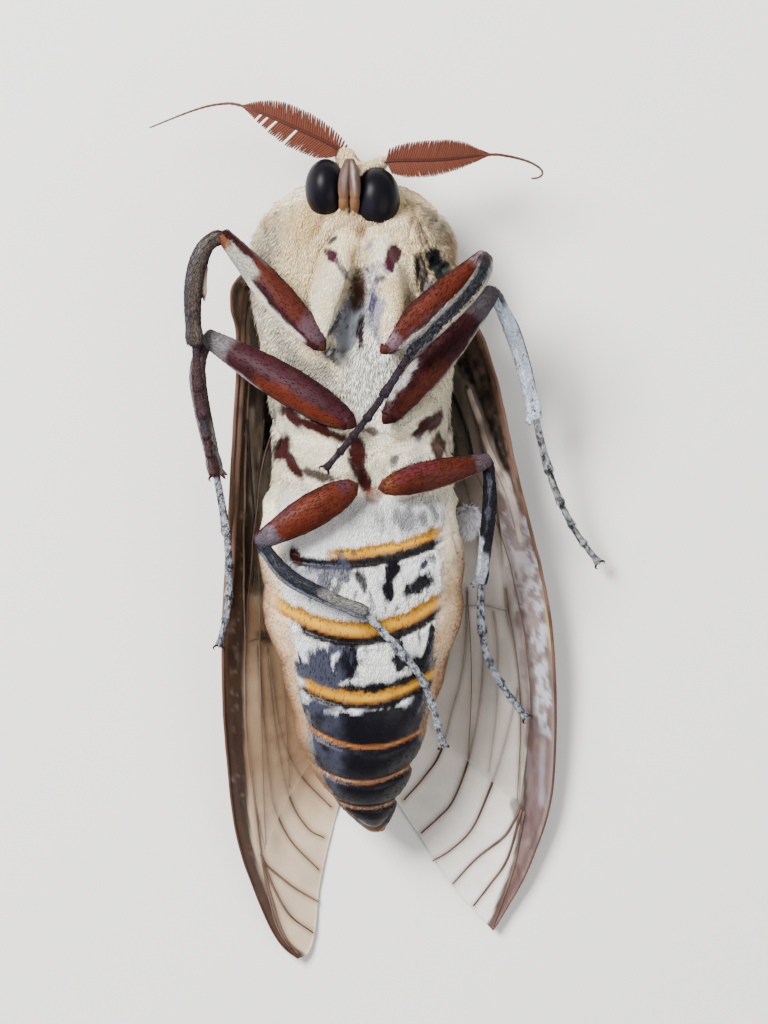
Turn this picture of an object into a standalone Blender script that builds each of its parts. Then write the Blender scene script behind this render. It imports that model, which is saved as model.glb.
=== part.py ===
"""An endoxyla wood moth, male, life size, lying dead on its back.

The belly faces up (+Z) and the head points along +Y, so +X is the moth's own left.
Sizes are in millimetres until a mesh is made. The floor is z = 0, and the middle of
the model's outline, seen from above, is x = 0, y = 0.
"""

import math
import random
from dataclasses import dataclass

import bmesh
import bpy
import numpy as np
from mathutils import Vector

MM = 0.001
GAP = 0.3
SLIVER = 0.000004
SEED = 11

# The trunk, from the front of the collar to the tail. Each row holds the place along
# the body, the middle, the half width, the lowest, highest and widest heights.
TRUNK = (
    (40.6, -3.2, 2.4, 3.4, 6.0, 4.8),
    (39.4, -3.2, 6.0, 1.6, 8.6, 5.5),
    (37.4, -3.0, 8.6, 0.4, 11.4, 7.0),
    (34.0, -2.9, 11.0, -0.3, 14.0, 8.2),
    (29.0, -2.8, 11.8, -0.6, 15.0, 8.8),
    (20.5, -2.5, 10.9, -0.5, 15.3, 9.2),
    (15.5, -2.3, 10.3, 2.4, 14.8, 9.3),
    (8.0, -2.0, 10.2, 2.8, 15.0, 9.4),
    (-1.8, -2.3, 11.0, 2.8, 16.8, 9.6),
    (-9.0, -1.9, 11.4, 2.7, 17.3, 9.7),
    (-14.2, -1.9, 10.8, 2.7, 17.0, 9.4),
    (-19.0, -1.8, 9.1, 2.7, 16.0, 9.0),
    (-26.7, -2.1, 6.5, 2.9, 13.4, 8.0),
    (-30.2, -1.8, 4.5, 3.1, 11.0, 7.0),
    (-32.8, -0.9, 2.4, 3.7, 8.8, 6.1),
    (-34.1, -0.4, 0.8, 4.7, 6.6, 5.6),
)
TRUNK_SIDES = 28
TRUNK_BOX = 2.25

# The cuts between the trunk's pieces, and how far each one bows forward at the sides.
COLLAR_FRONT = 40.6
COLLAR_CUT = (33.2, 0.8)
MIDDLE_CUT = (17.6, 0.5)
WAIST_CUT = (4.4, 0.8)
BELLY_CUTS = ((-1.2, 3.6), (-10.3, 4.6), (-17.6, 3.6), (-23.3, 2.9), (-27.4, 2.2), (-30.5, 1.4))
TAIL = (-34.1, 0.2)
BELLY_SWELL = 0.035

HEAD_MIDDLE = (-3.1, 38.2, 10.6)
HEAD_RADII = (4.1, 4.0, 3.9)
BROW_TUFT = ((-3.5, 41.0, 10.2), (-3.9, 42.6, 11.0), (1.9, 1.1))
EYES = {
    "right": ((-6.1, 38.9, 11.6), (2.1, 3.0, 2.8)),
    "left": ((-0.35, 37.8, 11.6), (2.4, 3.15, 2.8)),
}
PALPS = {
    "right": ((-4.15, 35.2, 13.1), (-4.05, 38.4, 14.6), (-3.95, 41.7, 13.7)),
    "left": ((-2.75, 35.1, 13.1), (-2.75, 38.4, 14.6), (-2.7, 41.6, 13.7)),
}
PALP_RADIUS = 0.56
PALP_PROFILE = (0.85, 1.0, 1.05, 1.0, 0.92, 0.8, 0.6)
SOCKET_RISE = 1.7


@dataclass
class Antenna:
    """A feeler: its stem, where its comb ends, and how far its rami reach."""

    stem: tuple
    comb_end: float
    reach: float


ANTENNAE = {
    "right": Antenna(
        stem=(
            (-3.9, 41.6, 10.6), (-4.9, 43.3, 11.4), (-10.4, 46.0, 11.0),
            (-15.5, 48.2, 9.6), (-18.0, 48.5, 8.6), (-21.1, 47.9, 7.4), (-26.1, 46.1, 6.0),
        ),
        comb_end=0.52,
        reach=1.9,
    ),
    "left": Antenna(
        stem=(
            (-0.9, 41.3, 10.6), (1.0, 41.8, 11.4), (7.2, 42.0, 11.0),
            (12.4, 42.5, 9.6), (15.2, 42.4, 8.8), (18.0, 41.3, 8.0), (17.2, 40.1, 7.5),
        ),
        comb_end=0.60,
        reach=2.1,
    ),
}
STEM_RADIUS = 0.42
STEM_TIP_RADIUS = 0.2
SCAPE_SWELL = (0.3, 0.26, 0.1)
RAMUS_COUNT = 15
COMB_START = 0.08
RAMUS_WIDTH = 0.27
RAMUS_PROFILE = (1.1, 0.95, 0.5)
RAMUS_LEAN = math.radians(58)
RAMUS_BEND = 0.7


@dataclass
class Leg:
    """One leg: its joints from the body outwards, and its half thicknesses."""

    coxa: tuple
    hip: tuple
    knee: tuple
    shin: tuple
    ankle: tuple
    foot: tuple
    toe: tuple
    coxa_radius: float
    thigh_radius: float
    shin_radius: float
    spurs: tuple


LEGS = {
    "fore_right": Leg(
        coxa=((-5.6, 32.2, 14.3), (-6.1, 26.5, 16.3), (-6.4, 20.9, 17.4)),
        hip=(-6.5, 20.9, 17.5),
        knee=(-17.4, 33.3, 15.3),
        shin=((-19.3, 32.0, 15.1), (-20.5, 28.9, 14.7), (-20.8, 25.2, 14.2)),
        ankle=(-20.6, 21.3, 13.6),
        foot=((-20.3, 17.6, 13.0), (-19.6, 12.1, 12.2)),
        toe=(-18.6, 6.6, 11.5),
        coxa_radius=2.2,
        thigh_radius=1.6,
        shin_radius=1.0,
        spurs=((0.62, 1),),
    ),
    "fore_left": Leg(
        coxa=((0.0, 31.9, 14.3), (0.4, 26.3, 16.3), (0.6, 20.5, 17.3)),
        hip=(0.6, 20.5, 17.4),
        knee=(11.7, 31.0, 14.8),
        shin=((11.5, 29.0, 17.1), (9.2, 25.7, 18.3)),
        ankle=(3.3, 19.9, 19.6),
        foot=((0.4, 15.3, 20.2), (-2.6, 11.2, 20.1)),
        toe=(-5.9, 7.3, 19.4),
        coxa_radius=2.2,
        thigh_radius=1.5,
        shin_radius=0.95,
        spurs=((0.62, 1),),
    ),
    "mid_right": Leg(
        coxa=((-9.8, 13.6, 11.8), (-6.6, 12.8, 13.8), (-3.6, 11.6, 14.8)),
        hip=(-3.3, 12.4, 17.2),
        knee=(-19.4, 22.1, 11.6),
        shin=((-20.4, 17.3, 10.8),),
        ankle=(-18.4, 6.8, 9.8),
        foot=((-17.2, -0.5, 9.5), (-17.0, -6.9, 9.0)),
        toe=(-18.1, -12.6, 8.4),
        coxa_radius=2.4,
        thigh_radius=1.85,
        shin_radius=0.9,
        spurs=((1.0, 2),),
    ),
    "mid_left": Leg(
        coxa=((6.0, 13.8, 11.8), (3.6, 13.0, 13.8), (1.0, 11.7, 14.8)),
        hip=(0.9, 12.9, 17.2),
        knee=(12.7, 27.2, 13.0),
        shin=((14.8, 22.9, 11.3), (16.3, 18.5, 9.3)),
        ankle=(17.6, 13.2, 7.4),
        foot=((19.3, 6.8, 5.8), (21.8, 1.1, 4.2)),
        toe=(25.0, -3.3, 2.5),
        coxa_radius=2.4,
        thigh_radius=1.7,
        shin_radius=0.85,
        spurs=((1.0, 2),),
    ),
    "hind_right": Leg(
        coxa=((-9.0, 9.2, 12.2), (-5.8, 8.0, 14.2), (-2.9, 6.2, 15.5)),
        hip=(-2.9, 5.3, 18.0),
        knee=(-13.3, -0.8, 17.9),
        shin=((-10.2, -4.5, 18.6), (-6.0, -6.8, 19.4)),
        ankle=(-1.6, -8.6, 19.6),
        foot=((1.7, -12.2, 19.0), (5.1, -16.8, 16.9)),
        toe=(7.1, -23.7, 12.2),
        coxa_radius=2.35,
        thigh_radius=1.55,
        shin_radius=0.85,
        spurs=((0.58, 2), (1.0, 2)),
    ),
    "hind_left": Leg(
        coxa=((6.4, 8.9, 12.2), (3.6, 7.9, 14.2), (0.9, 6.3, 15.5)),
        hip=(0.4, 5.2, 17.6),
        knee=(12.1, 8.2, 14.4),
        shin=((12.3, 3.8, 12.9), (11.9, -0.9, 11.1)),
        ankle=(11.4, -5.4, 9.6),
        foot=((11.7, -12.3, 8.2), (13.8, -17.0, 6.8)),
        toe=(16.6, -20.8, 5.7),
        coxa_radius=2.35,
        thigh_radius=1.45,
        shin_radius=0.75,
        spurs=((0.58, 2), (1.0, 2)),
    ),
}
COXA_PROFILE = (0.9, 1.0, 1.02, 0.95, 0.82, 0.66)
THIGH_END = 0.6
SHIN_PROFILE = (0.9, 1.0, 1.05, 1.05, 1.0, 0.95, 0.9, 0.85, 0.9)
TARSUS_RADIUS = 0.5
TARSUS_JOINTS = (0.0, 0.36, 0.56, 0.72, 0.86, 1.0)
CLAW_LENGTH = 1.1
CLAW_RADIUS = 0.25
SPUR_LENGTH = 1.7
SPUR_RADIUS = 0.3


@dataclass
class Fold:
    """How one side's folded wings lie: edges seen from above, and the costa's height."""

    costa: tuple
    costa_height: tuple
    tip: tuple
    termen: tuple
    tornus: tuple
    inner: tuple
    root: tuple
    hind_costa: tuple
    hind_tip: tuple
    hind_termen: tuple
    hind_tornus: tuple
    hind_inner: tuple
    hind_root: tuple
    flat_reach: float


MIDLINE = -2.3
FOLDS = {
    "right": Fold(
        costa=((-12.4, 28.4), (-16.1, 20.0), (-17.5, -1.8), (-18.0, -16.0), (-16.7, -32.8)),
        costa_height=((28.4, 8.8), (12.9, 8.4), (-1.8, 7.4), (-22.6, 5.4), (-41.2, 2.4), (-49.0, 0.9)),
        tip=(-9.6, -48.6),
        termen=((-7.2, -45.0), (-6.6, -37.0)),
        tornus=(-3.6, -27.0),
        inner=((-2.8, 6.0), (-2.8, -10.0)),
        root=(-3.4, 17.4),
        hind_costa=((-11.0, 16.4), (-14.2, 8.0), (-15.9, -10.0), (-15.8, -24.0)),
        hind_tip=(-13.7, -36.0),
        hind_termen=((-11.0, -30.1), (-7.6, -25.0)),
        hind_tornus=(-3.8, -19.0),
        hind_inner=((-3.3, 1.0), (-3.2, -9.0)),
        hind_root=(-3.8, 8.0),
        flat_reach=4.0,
    ),
    "left": Fold(
        costa=((7.4, 28.4), (11.9, 20.5), (15.9, 6.1), (19.6, -10.5), (19.9, -28.0)),
        costa_height=((28.4, 8.8), (15.2, 7.0), (6.1, 5.4), (-6.4, 4.0), (-23.6, 2.6), (-45.2, 0.9)),
        tip=(13.9, -44.9),
        termen=((9.4, -41.9), (4.6, -35.2)),
        tornus=(-0.6, -27.0),
        inner=((-1.7, 6.0), (-1.8, -10.0)),
        root=(-1.1, 17.4),
        hind_costa=((6.6, 16.4), (10.9, 9.0), (15.4, -3.5), (17.5, -18.0)),
        hind_tip=(16.3, -31.0),
        hind_termen=((9.3, -25.2), (4.6, -21.0)),
        hind_tornus=(-0.4, -17.0),
        hind_inner=((-1.2, 1.0), (-1.3, -9.0)),
        hind_root=(-0.7, 8.0),
        flat_reach=7.0,
    ),
}
WING_THICKNESS = 0.5
WING_RISE = 1.45
RIDGE_HEIGHT = 0.24
RIDGE_HALF_WIDTH = 0.024
FORE_VEINS = (0.08, 0.24, 0.40, 0.56, 0.70, 0.85)
HIND_VEINS = (0.12, 0.36, 0.60, 0.84)
FORE_COLUMNS = 15
HIND_COLUMNS = 11
HIND_LIFT = WING_THICKNESS + RIDGE_HEIGHT + 0.38


@dataclass
class Finish:
    """A surface's colour, roughness and metallic value."""

    colour: tuple
    roughness: float
    metallic: float = 0.0


FINISHES = {
    "fur": Finish((0.83, 0.77, 0.62), 0.95),
    "belly": Finish((0.62, 0.60, 0.58), 0.75),
    "eye": Finish((0.012, 0.011, 0.018), 0.22),
    "palp": Finish((0.42, 0.31, 0.25), 0.8),
    "antenna": Finish((0.33, 0.12, 0.07), 0.75),
    "thigh": Finish((0.22, 0.035, 0.03), 0.55),
    "shin": Finish((0.24, 0.22, 0.23), 0.7),
    "foot": Finish((0.52, 0.52, 0.54), 0.7),
    "wing": Finish((0.30, 0.19, 0.12), 0.6),
}


def smooth_line(points, count):
    """Evenly spaced points on a smooth curve through a few given ones."""
    points = np.array(points, float)
    if len(points) == 2:
        return points[0] + np.linspace(0, 1, count)[:, None] * (points[1] - points[0])
    padded = np.vstack([2 * points[0] - points[1], points, 2 * points[-1] - points[-2]])
    dense = []
    for before, start, end, after in zip(padded, padded[1:], padded[2:], padded[3:]):
        t = np.linspace(0, 1, 24, endpoint=False)[:, None]
        dense.append(
            0.5
            * (
                2 * start
                + (end - before) * t
                + (2 * before - 5 * start + 4 * end - after) * t**2
                + (3 * start - before - 3 * end + after) * t**3
            )
        )
    dense = np.vstack([*dense, points[-1:]])
    reach = np.append(0, np.cumsum(np.linalg.norm(np.diff(dense, axis=0), axis=1)))
    wanted = np.linspace(0, reach[-1], count)
    return np.column_stack([np.interp(wanted, reach, axis) for axis in dense.T])


def smooth_rows(table, place):
    """The table's row at one place, eased between the rows on either side."""
    rows = np.array(sorted(table), float)
    place = min(max(place, rows[0, 0]), rows[-1, 0])
    slopes = np.gradient(rows[:, 1:], rows[:, 0], axis=0)
    i = min(int(np.searchsorted(rows[:, 0], place, side="right")) - 1, len(rows) - 2)
    span = rows[i + 1, 0] - rows[i, 0]
    t = (place - rows[i, 0]) / span
    start = rows[i, 1:] * (1 + 2 * t) * (1 - t) ** 2 + span * slopes[i] * t * (1 - t) ** 2
    end = rows[i + 1, 1:] * t * t * (3 - 2 * t) + span * slopes[i + 1] * t * t * (t - 1)
    return start + end


def closed_rings(rings, start_point, end_point):
    """Points and triangles of a closed skin over rings, each end drawn to a point."""
    sides = len(rings[0])
    points = np.vstack([*rings, [start_point], [end_point]])
    first, last = len(points) - 2, len(points) - 1
    faces = []
    for i in range(len(rings) - 1):
        for j in range(sides):
            a, b = i * sides + j, i * sides + (j + 1) % sides
            c, d = b + sides, a + sides
            faces += [(a, b, c), (a, c, d)]
    for j in range(sides):
        faces.append((first, (j + 1) % sides, j))
        foot = (len(rings) - 1) * sides
        faces.append((last, foot + j, foot + (j + 1) % sides))
    return points, faces


def tube(line, radii, sides, grow=0.0, end_reach=0.6):
    """A round limb along a line, its two ends domed by end_reach times their radius."""
    line = np.array(line, float)
    radii = np.array(radii, float) + grow
    tangents = np.gradient(line, axis=0)
    tangents /= np.linalg.norm(tangents, axis=1)[:, None]
    line[0] -= tangents[0] * (grow * end_reach)
    line[-1] += tangents[-1] * (grow * end_reach)
    side = np.cross(tangents[0], (0.0, 0.0, 1.0))
    rings = []
    for point, tangent, radius in zip(line, tangents, radii):
        side = side - tangent * side.dot(tangent)
        side /= np.linalg.norm(side)
        other = np.cross(tangent, side)
        turn = np.linspace(0, 2 * math.pi, sides, endpoint=False)[:, None]
        rings.append(point + radius * (np.cos(turn) * side + np.sin(turn) * other))
    start = line[0] - tangents[0] * (radii[0] * end_reach)
    end = line[-1] + tangents[-1] * (radii[-1] * end_reach)
    return closed_rings(rings, start, end)


def ellipsoid(middle, radii, sides, rings, grow=0.0):
    """A closed egg about a middle point, its poles along Y."""
    radii = np.array(radii, float) + grow
    stack = []
    for i in range(1, rings):
        tilt = math.pi * i / rings
        turn = np.linspace(0, 2 * math.pi, sides, endpoint=False)
        circle = np.column_stack([
            np.cos(turn) * math.sin(tilt),
            np.full(sides, math.cos(tilt)),
            np.sin(turn) * math.sin(tilt),
        ])
        stack.append(np.array(middle) + circle * radii)
    pole = np.array((0.0, radii[1], 0.0))
    return closed_rings(stack, np.array(middle) + pole, np.array(middle) - pole)


def trunk_ring(place, bow, grow=0.0, swell=0.0, shift=0.0):
    """One cross-section of the trunk, flat where it meets the floor."""
    middle, half_width, low, high, widest = smooth_rows(TRUNK, place)
    turn = np.linspace(0, 2 * math.pi, TRUNK_SIDES, endpoint=False)
    round_x = np.sign(np.cos(turn)) * np.abs(np.cos(turn)) ** (2 / TRUNK_BOX)
    round_z = np.sign(np.sin(turn)) * np.abs(np.sin(turn)) ** (2 / TRUNK_BOX)
    wide = (half_width + grow) * (1 + swell)
    above = (high - widest + grow) * (1 + swell)
    below = widest - low + grow
    x = middle + round_x * wide
    z = widest + np.where(round_z > 0, round_z * above, round_z * below)
    y = place + shift + bow * np.cos(turn) ** 2
    return np.column_stack([x, y, np.maximum(z, -grow)])


def trunk_piece(front, back, count, grow=0.0, swell=0.0):
    """The trunk from one cut to the next, each cut given as its place and its bow."""
    rings = []
    for t in np.linspace(0, 1, count):
        place = front[0] + (back[0] - front[0]) * t
        bow = front[1] + (back[1] - front[1]) * t
        swollen = swell * math.sin(math.pi * min(1.0, t * 1.15))
        rings.append(trunk_ring(place, bow, grow, swollen, grow * (1 - 2 * t**3)))
    ends = []
    for ring in (rings[0], rings[-1]):
        ends.append(ring.mean(axis=0))
    return closed_rings(rings, ends[0], ends[1])


def shortened(front, back):
    """The two cuts moved apart by half the gap each, so that pieces don't touch."""
    return (front[0] - GAP / 2, front[1]), (back[0] + GAP / 2, back[1])


def solid_mesh(name, shape):
    """A triangle mesh in metres, with its faces turned outwards."""
    points, faces = shape
    mesh = bpy.data.meshes.new(name)
    mesh.from_pydata([tuple(p * MM) for p in points], [], faces)
    edit = bmesh.new()
    edit.from_mesh(mesh)
    bmesh.ops.recalc_face_normals(edit, faces=edit.faces)
    if edit.calc_volume(signed=True) < 0:
        bmesh.ops.reverse_faces(edit, faces=edit.faces)
    edit.to_mesh(mesh)
    edit.free()
    return mesh


def drop_slivers(mesh):
    """Removes a mesh's thinnest triangles, unless that would open it."""
    edit = bmesh.new()
    edit.from_mesh(mesh)
    bmesh.ops.triangulate(edit, faces=edit.faces)
    bmesh.ops.dissolve_degenerate(edit, dist=SLIVER, edges=edit.edges)
    bmesh.ops.triangulate(edit, faces=edit.faces)
    if all(edge.is_manifold for edge in edit.edges):
        edit.to_mesh(mesh)
    edit.free()


def largest_surface(mesh):
    """Deletes all of a mesh but its largest closed surface."""
    edit = bmesh.new()
    edit.from_mesh(mesh)
    left = set(edit.faces)
    islands = []
    while left:
        seed = left.pop()
        island, front = {seed}, [seed]
        while front:
            for edge in front.pop().edges:
                for face in edge.link_faces:
                    if face in left:
                        left.remove(face)
                        island.add(face)
                        front.append(face)
        islands.append(island)
    islands.sort(key=lambda island: sum(face.calc_area() for face in island))
    scraps = [face for island in islands[:-1] for face in island]
    bmesh.ops.delete(edit, geom=scraps, context="FACES")
    edit.to_mesh(mesh)
    edit.free()


def combined(name, shape, operation, others, solver="EXACT"):
    """The shape joined with others, or cut by them, in one Boolean on a collection."""
    start = solid_mesh(name, shape) if isinstance(shape, tuple) else shape
    piece = bpy.data.objects.new(name, start)
    bpy.context.scene.collection.objects.link(piece)
    helpers = bpy.data.collections.new(name + "_helpers")
    bpy.context.scene.collection.children.link(helpers)
    for i, other in enumerate(others):
        helper = bpy.data.objects.new(f"{name}_helper_{i}", solid_mesh(name, other))
        helper.hide_render = True
        helper.display_type = "WIRE"
        helpers.objects.link(helper)
    modifier = piece.modifiers.new("Joined", "BOOLEAN")
    modifier.operation = operation
    modifier.operand_type = "COLLECTION"
    modifier.collection = helpers
    modifier.solver = solver
    graph = bpy.context.evaluated_depsgraph_get()
    result = bpy.data.meshes.new_from_object(piece.evaluated_get(graph))
    for helper in list(helpers.objects):
        bpy.data.objects.remove(helper)
    bpy.data.collections.remove(helpers)
    bpy.data.objects.remove(piece)
    largest_surface(result)
    drop_slivers(result)
    return result


def make_node(name, mesh, finish, origin):
    """One named object with its own material, its origin on the given point."""
    mesh.name = name
    mesh.shade_smooth()
    mesh.set_sharp_from_angle(angle=math.radians(50))
    start = Vector(origin) * MM
    for vertex in mesh.vertices:
        vertex.co -= start
    node = bpy.data.objects.new(name, mesh)
    node.location = start
    bpy.context.scene.collection.objects.link(node)
    material = bpy.data.materials.new(name)
    material.use_nodes = True
    shader = material.node_tree.nodes["Principled BSDF"]
    look = FINISHES[finish]
    shader.inputs["Base Color"].default_value = (*look.colour, 1.0)
    shader.inputs["Roughness"].default_value = look.roughness
    shader.inputs["Metallic"].default_value = look.metallic
    material.diffuse_color = (*look.colour, 1.0)
    mesh.materials.clear()
    mesh.materials.append(material)
    return node


def collar_shape(grow=0.0):
    """The prothorax, a furry collar that narrows to the neck."""
    front, back = shortened((COLLAR_FRONT, 0.0), COLLAR_CUT)
    return trunk_piece(front, back, 7, grow)


def mesothorax_shape(grow=0.0):
    """The main block of the thorax, its back flat on the floor."""
    front, back = shortened(COLLAR_CUT, MIDDLE_CUT)
    return trunk_piece(front, back, 8, grow)


def metathorax_shape(grow=0.0):
    """The hind part of the thorax, lifted clear of the folded wings."""
    front, back = shortened(MIDDLE_CUT, WAIST_CUT)
    return trunk_piece(front, back, 6, grow)


def belly_cuts():
    """The cuts on either side of each ring of the belly."""
    cuts = (WAIST_CUT, *BELLY_CUTS, TAIL)
    return list(zip(cuts, cuts[1:]))


def belly_shape(number, grow=0.0):
    """One ring of the belly, counted from the waist, a little swollen except at the tail."""
    front, back = shortened(*belly_cuts()[number - 1])
    swell = 0.0 if back[0] < BELLY_CUTS[-1][0] else BELLY_SWELL
    return trunk_piece(front, back, 5, grow, swell)


def head_shapes(grow=0.0):
    """The head capsule without its sockets, and the tuft on its brow."""
    start, end, radii = BROW_TUFT
    tuft = tube(smooth_line((start, end), 4), np.linspace(*radii, 4), 10, grow)
    return [ellipsoid(HEAD_MIDDLE, HEAD_RADII, 20, 12, grow), tuft]


def eye_shape(side, grow=0.0, rise=1.0):
    """One compound eye, made taller by rise where it cuts a socket open to the top."""
    middle, radii = EYES[side]
    return ellipsoid(middle, (radii[0], radii[1], radii[2] * rise), 16, 10, grow)


def build_trunk():
    """Collar, thorax and the belly's seven rings."""
    make_node("prothorax", solid_mesh("prothorax", collar_shape()), "fur", (-3.0, 36.0, 7.0))
    make_node("mesothorax", solid_mesh("mesothorax", mesothorax_shape()), "fur", (-2.8, 25.0, 8.0))
    make_node("metathorax", solid_mesh("metathorax", metathorax_shape()), "fur", (-2.2, 11.0, 9.0))
    for number, (front, _) in enumerate(belly_cuts(), 1):
        name = f"abdomen_{number}"
        make_node(name, solid_mesh(name, belly_shape(number)), "belly", (-2.0, front[0], 9.0))


def build_head():
    """Head, eyes and palps, each set into the one that carries it."""
    capsule, tuft = head_shapes()
    whole = combined("head", capsule, "UNION", [tuft])
    sockets = [eye_shape(side, GAP, SOCKET_RISE) for side in EYES]
    head = combined("head", whole, "DIFFERENCE", [*sockets, collar_shape(GAP)])
    make_node("head", head, "fur", HEAD_MIDDLE)
    for side in EYES:
        eye = combined(f"eye_{side}", eye_shape(side), "DIFFERENCE", [collar_shape(GAP)])
        make_node(f"eye_{side}", eye, "eye", EYES[side][0])
    for side, line in PALPS.items():
        radii = PALP_RADIUS * np.array(PALP_PROFILE)
        palp = tube(smooth_line(line, len(radii)), radii, 8)
        name = f"palp_{side}"
        cutters = [*head_shapes(GAP), collar_shape(GAP), *(eye_shape(eye, GAP) for eye in EYES)]
        make_node(name, combined(name, palp, "DIFFERENCE", cutters), "palp", line[0])


def ramus_shapes(antenna, draw):
    """The comb's teeth: flat tapered bars in two rows, longest in the middle."""
    line = smooth_line(antenna.stem, 120)
    shapes = []
    for i in range(RAMUS_COUNT):
        share = COMB_START + (antenna.comb_end - COMB_START) * (i + 0.5) / RAMUS_COUNT
        at = int(share * (len(line) - 1))
        along = line[at + 1] - line[at - 1]
        along /= np.linalg.norm(along)
        across = np.cross(along, (0.0, 0.0, 1.0))
        across /= np.linalg.norm(across)
        place = (i + 0.5) / RAMUS_COUNT
        reach = antenna.reach * (math.sin(math.pi * (0.12 + 0.84 * place)) ** 0.55)
        for side in (-1, 1):
            length = reach * draw.uniform(0.94, 1.04)
            lean = RAMUS_LEAN * draw.uniform(0.96, 1.04)
            out = side * across * math.sin(lean) + along * math.cos(lean)
            far = lean * RAMUS_BEND
            bent = side * across * math.sin(far) + along * math.cos(far)
            knee = line[at] + out * (length * 0.55)
            path = [line[at] - out * 0.1, knee, knee + bent * (length * 0.45)]
            widths = RAMUS_WIDTH * np.array(RAMUS_PROFILE)
            shapes.append(tube(path, widths, 4, end_reach=0.3))
    return shapes


def build_antennae():
    """The two feelers, combed along their first half and bare beyond it."""
    draw = random.Random(SEED)
    for side, antenna in ANTENNAE.items():
        name = f"antenna_{side}"
        line = smooth_line(antenna.stem, 22)
        radii = np.linspace(STEM_RADIUS, STEM_TIP_RADIUS, 22)
        radii[: len(SCAPE_SWELL)] += SCAPE_SWELL
        joined = combined(name, tube(line, radii, 6), "UNION", ramus_shapes(antenna, draw))
        cutters = [*head_shapes(GAP), *(eye_shape(eye, GAP) for eye in EYES)]
        make_node(name, combined(name, joined, "DIFFERENCE", cutters), "antenna", line[0])


def coxa_shape(leg, grow=0.0):
    """The leg's first joint, a broad lobe."""
    radii = leg.coxa_radius * np.array(COXA_PROFILE)
    return tube(smooth_line(leg.coxa, len(radii)), radii, 10, grow)


def thigh_shape(leg, grow=0.0):
    """The femur, with the small trochanter at its root."""
    bulge = np.sin(math.pi * np.linspace(0, 0.95, 8)) ** 0.8
    radii = leg.thigh_radius * (THIGH_END + (1 - THIGH_END) * bulge)
    return tube(smooth_line((leg.hip, leg.knee), len(radii)), radii, 9, grow)


def shin_line(leg, count):
    """The tibia's middle line, from the knee to the ankle."""
    return smooth_line((leg.knee, *leg.shin, leg.ankle), count)


def shin_shape(leg, grow=0.0):
    """The tibia, thickest just below the knee."""
    radii = leg.shin_radius * np.array(SHIN_PROFILE)
    return tube(shin_line(leg, len(radii)), radii, 8, grow)


def foot_line(leg, count):
    """The tarsus's middle line, from the ankle to the claws."""
    return smooth_line((leg.ankle, *leg.foot, leg.toe), count)


def foot_shape(leg):
    """The five tarsal joints, each a little wider at its far end."""
    dense = foot_line(leg, 101)
    places, radii = [], []
    for start, end in zip(TARSUS_JOINTS, TARSUS_JOINTS[1:]):
        places += [start + 0.03 * (start > 0), end - 0.02 * (end < 1)]
        radii += [TARSUS_RADIUS * 0.78, TARSUS_RADIUS * 1.05]
    line = dense[[int(round(place * 100)) for place in places]]
    return tube(line, radii, 7)


def spike(start, direction, length, radius, droop=(0.0, 0.0, 0.0), grow=0.0):
    """A small tapered point, bent towards droop."""
    direction = np.array(direction) / np.linalg.norm(direction)
    path = [np.array(start) + direction * (length * t) + np.array(droop) * t * t for t in (0, 0.5, 1)]
    return tube(path, radius * np.array((1.0, 0.75, 0.3)), 5, grow)


def side_axes(line):
    """The unit vectors along and across the end of a line."""
    along = line[-1] - line[-2]
    along /= np.linalg.norm(along)
    across = np.cross(along, (0.0, 0.0, 1.0))
    across /= np.linalg.norm(across)
    return along, across


def claw_shapes(leg):
    """The pair of claws at the end of a tarsus."""
    line = foot_line(leg, 30)
    along, across = side_axes(line)
    down = np.cross(across, along) * np.sign(np.cross(across, along)[2]) * -0.35
    return [
        spike(line[-1], along + across * 0.7 * side, CLAW_LENGTH, CLAW_RADIUS, down)
        for side in (-1, 1)
    ]


def spur_shapes(leg, grow=0.0):
    """The spurs of a tibia: pairs, or the one flap that a fore tibia has on its inner side."""
    line = shin_line(leg, 61)
    shapes = []
    for place, count in leg.spurs:
        at = int(place * 60)
        along, across = side_axes(line[: at + 1])
        start = line[at] - along * (leg.shin_radius * 0.3)
        inward = -np.sign(line[at][0] - MIDLINE) * np.sign(across[0])
        for side in (inward, -inward)[:count]:
            direction = along + across * 0.9 * side
            shapes.append(spike(start, direction, SPUR_LENGTH, SPUR_RADIUS, grow=grow))
    return shapes


def build_legs():
    """All six legs, their pieces cut clear of each other.

    The middle and hind femora fold back over their coxae, so there the coxa gives way.
    """
    trunk = [collar_shape(GAP), mesothorax_shape(GAP), metathorax_shape(GAP), belly_shape(1, GAP)]
    for leg_name, leg in LEGS.items():
        over_coxa = not leg_name.startswith("fore")
        name = f"{leg_name}_coxa"
        around = [*trunk, thigh_shape(leg, GAP)] if over_coxa else trunk
        make_node(name, combined(name, coxa_shape(leg), "DIFFERENCE", around), "fur", leg.coxa[0])
        name = f"{leg_name}_femur"
        around = trunk if over_coxa else [*trunk, coxa_shape(leg, GAP)]
        make_node(name, combined(name, thigh_shape(leg), "DIFFERENCE", around), "thigh", leg.hip)
        name = f"{leg_name}_tibia"
        shin = combined(name, shin_shape(leg), "UNION", spur_shapes(leg))
        shin = combined(name, shin, "DIFFERENCE", [thigh_shape(leg, GAP)])
        make_node(name, shin, "shin", leg.knee)
        name = f"{leg_name}_tarsus"
        foot = combined(name, foot_shape(leg), "UNION", claw_shapes(leg))
        foot = combined(name, foot, "DIFFERENCE", [shin_shape(leg, GAP), *spur_shapes(leg, GAP)])
        make_node(name, foot, "foot", leg.ankle)


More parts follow.
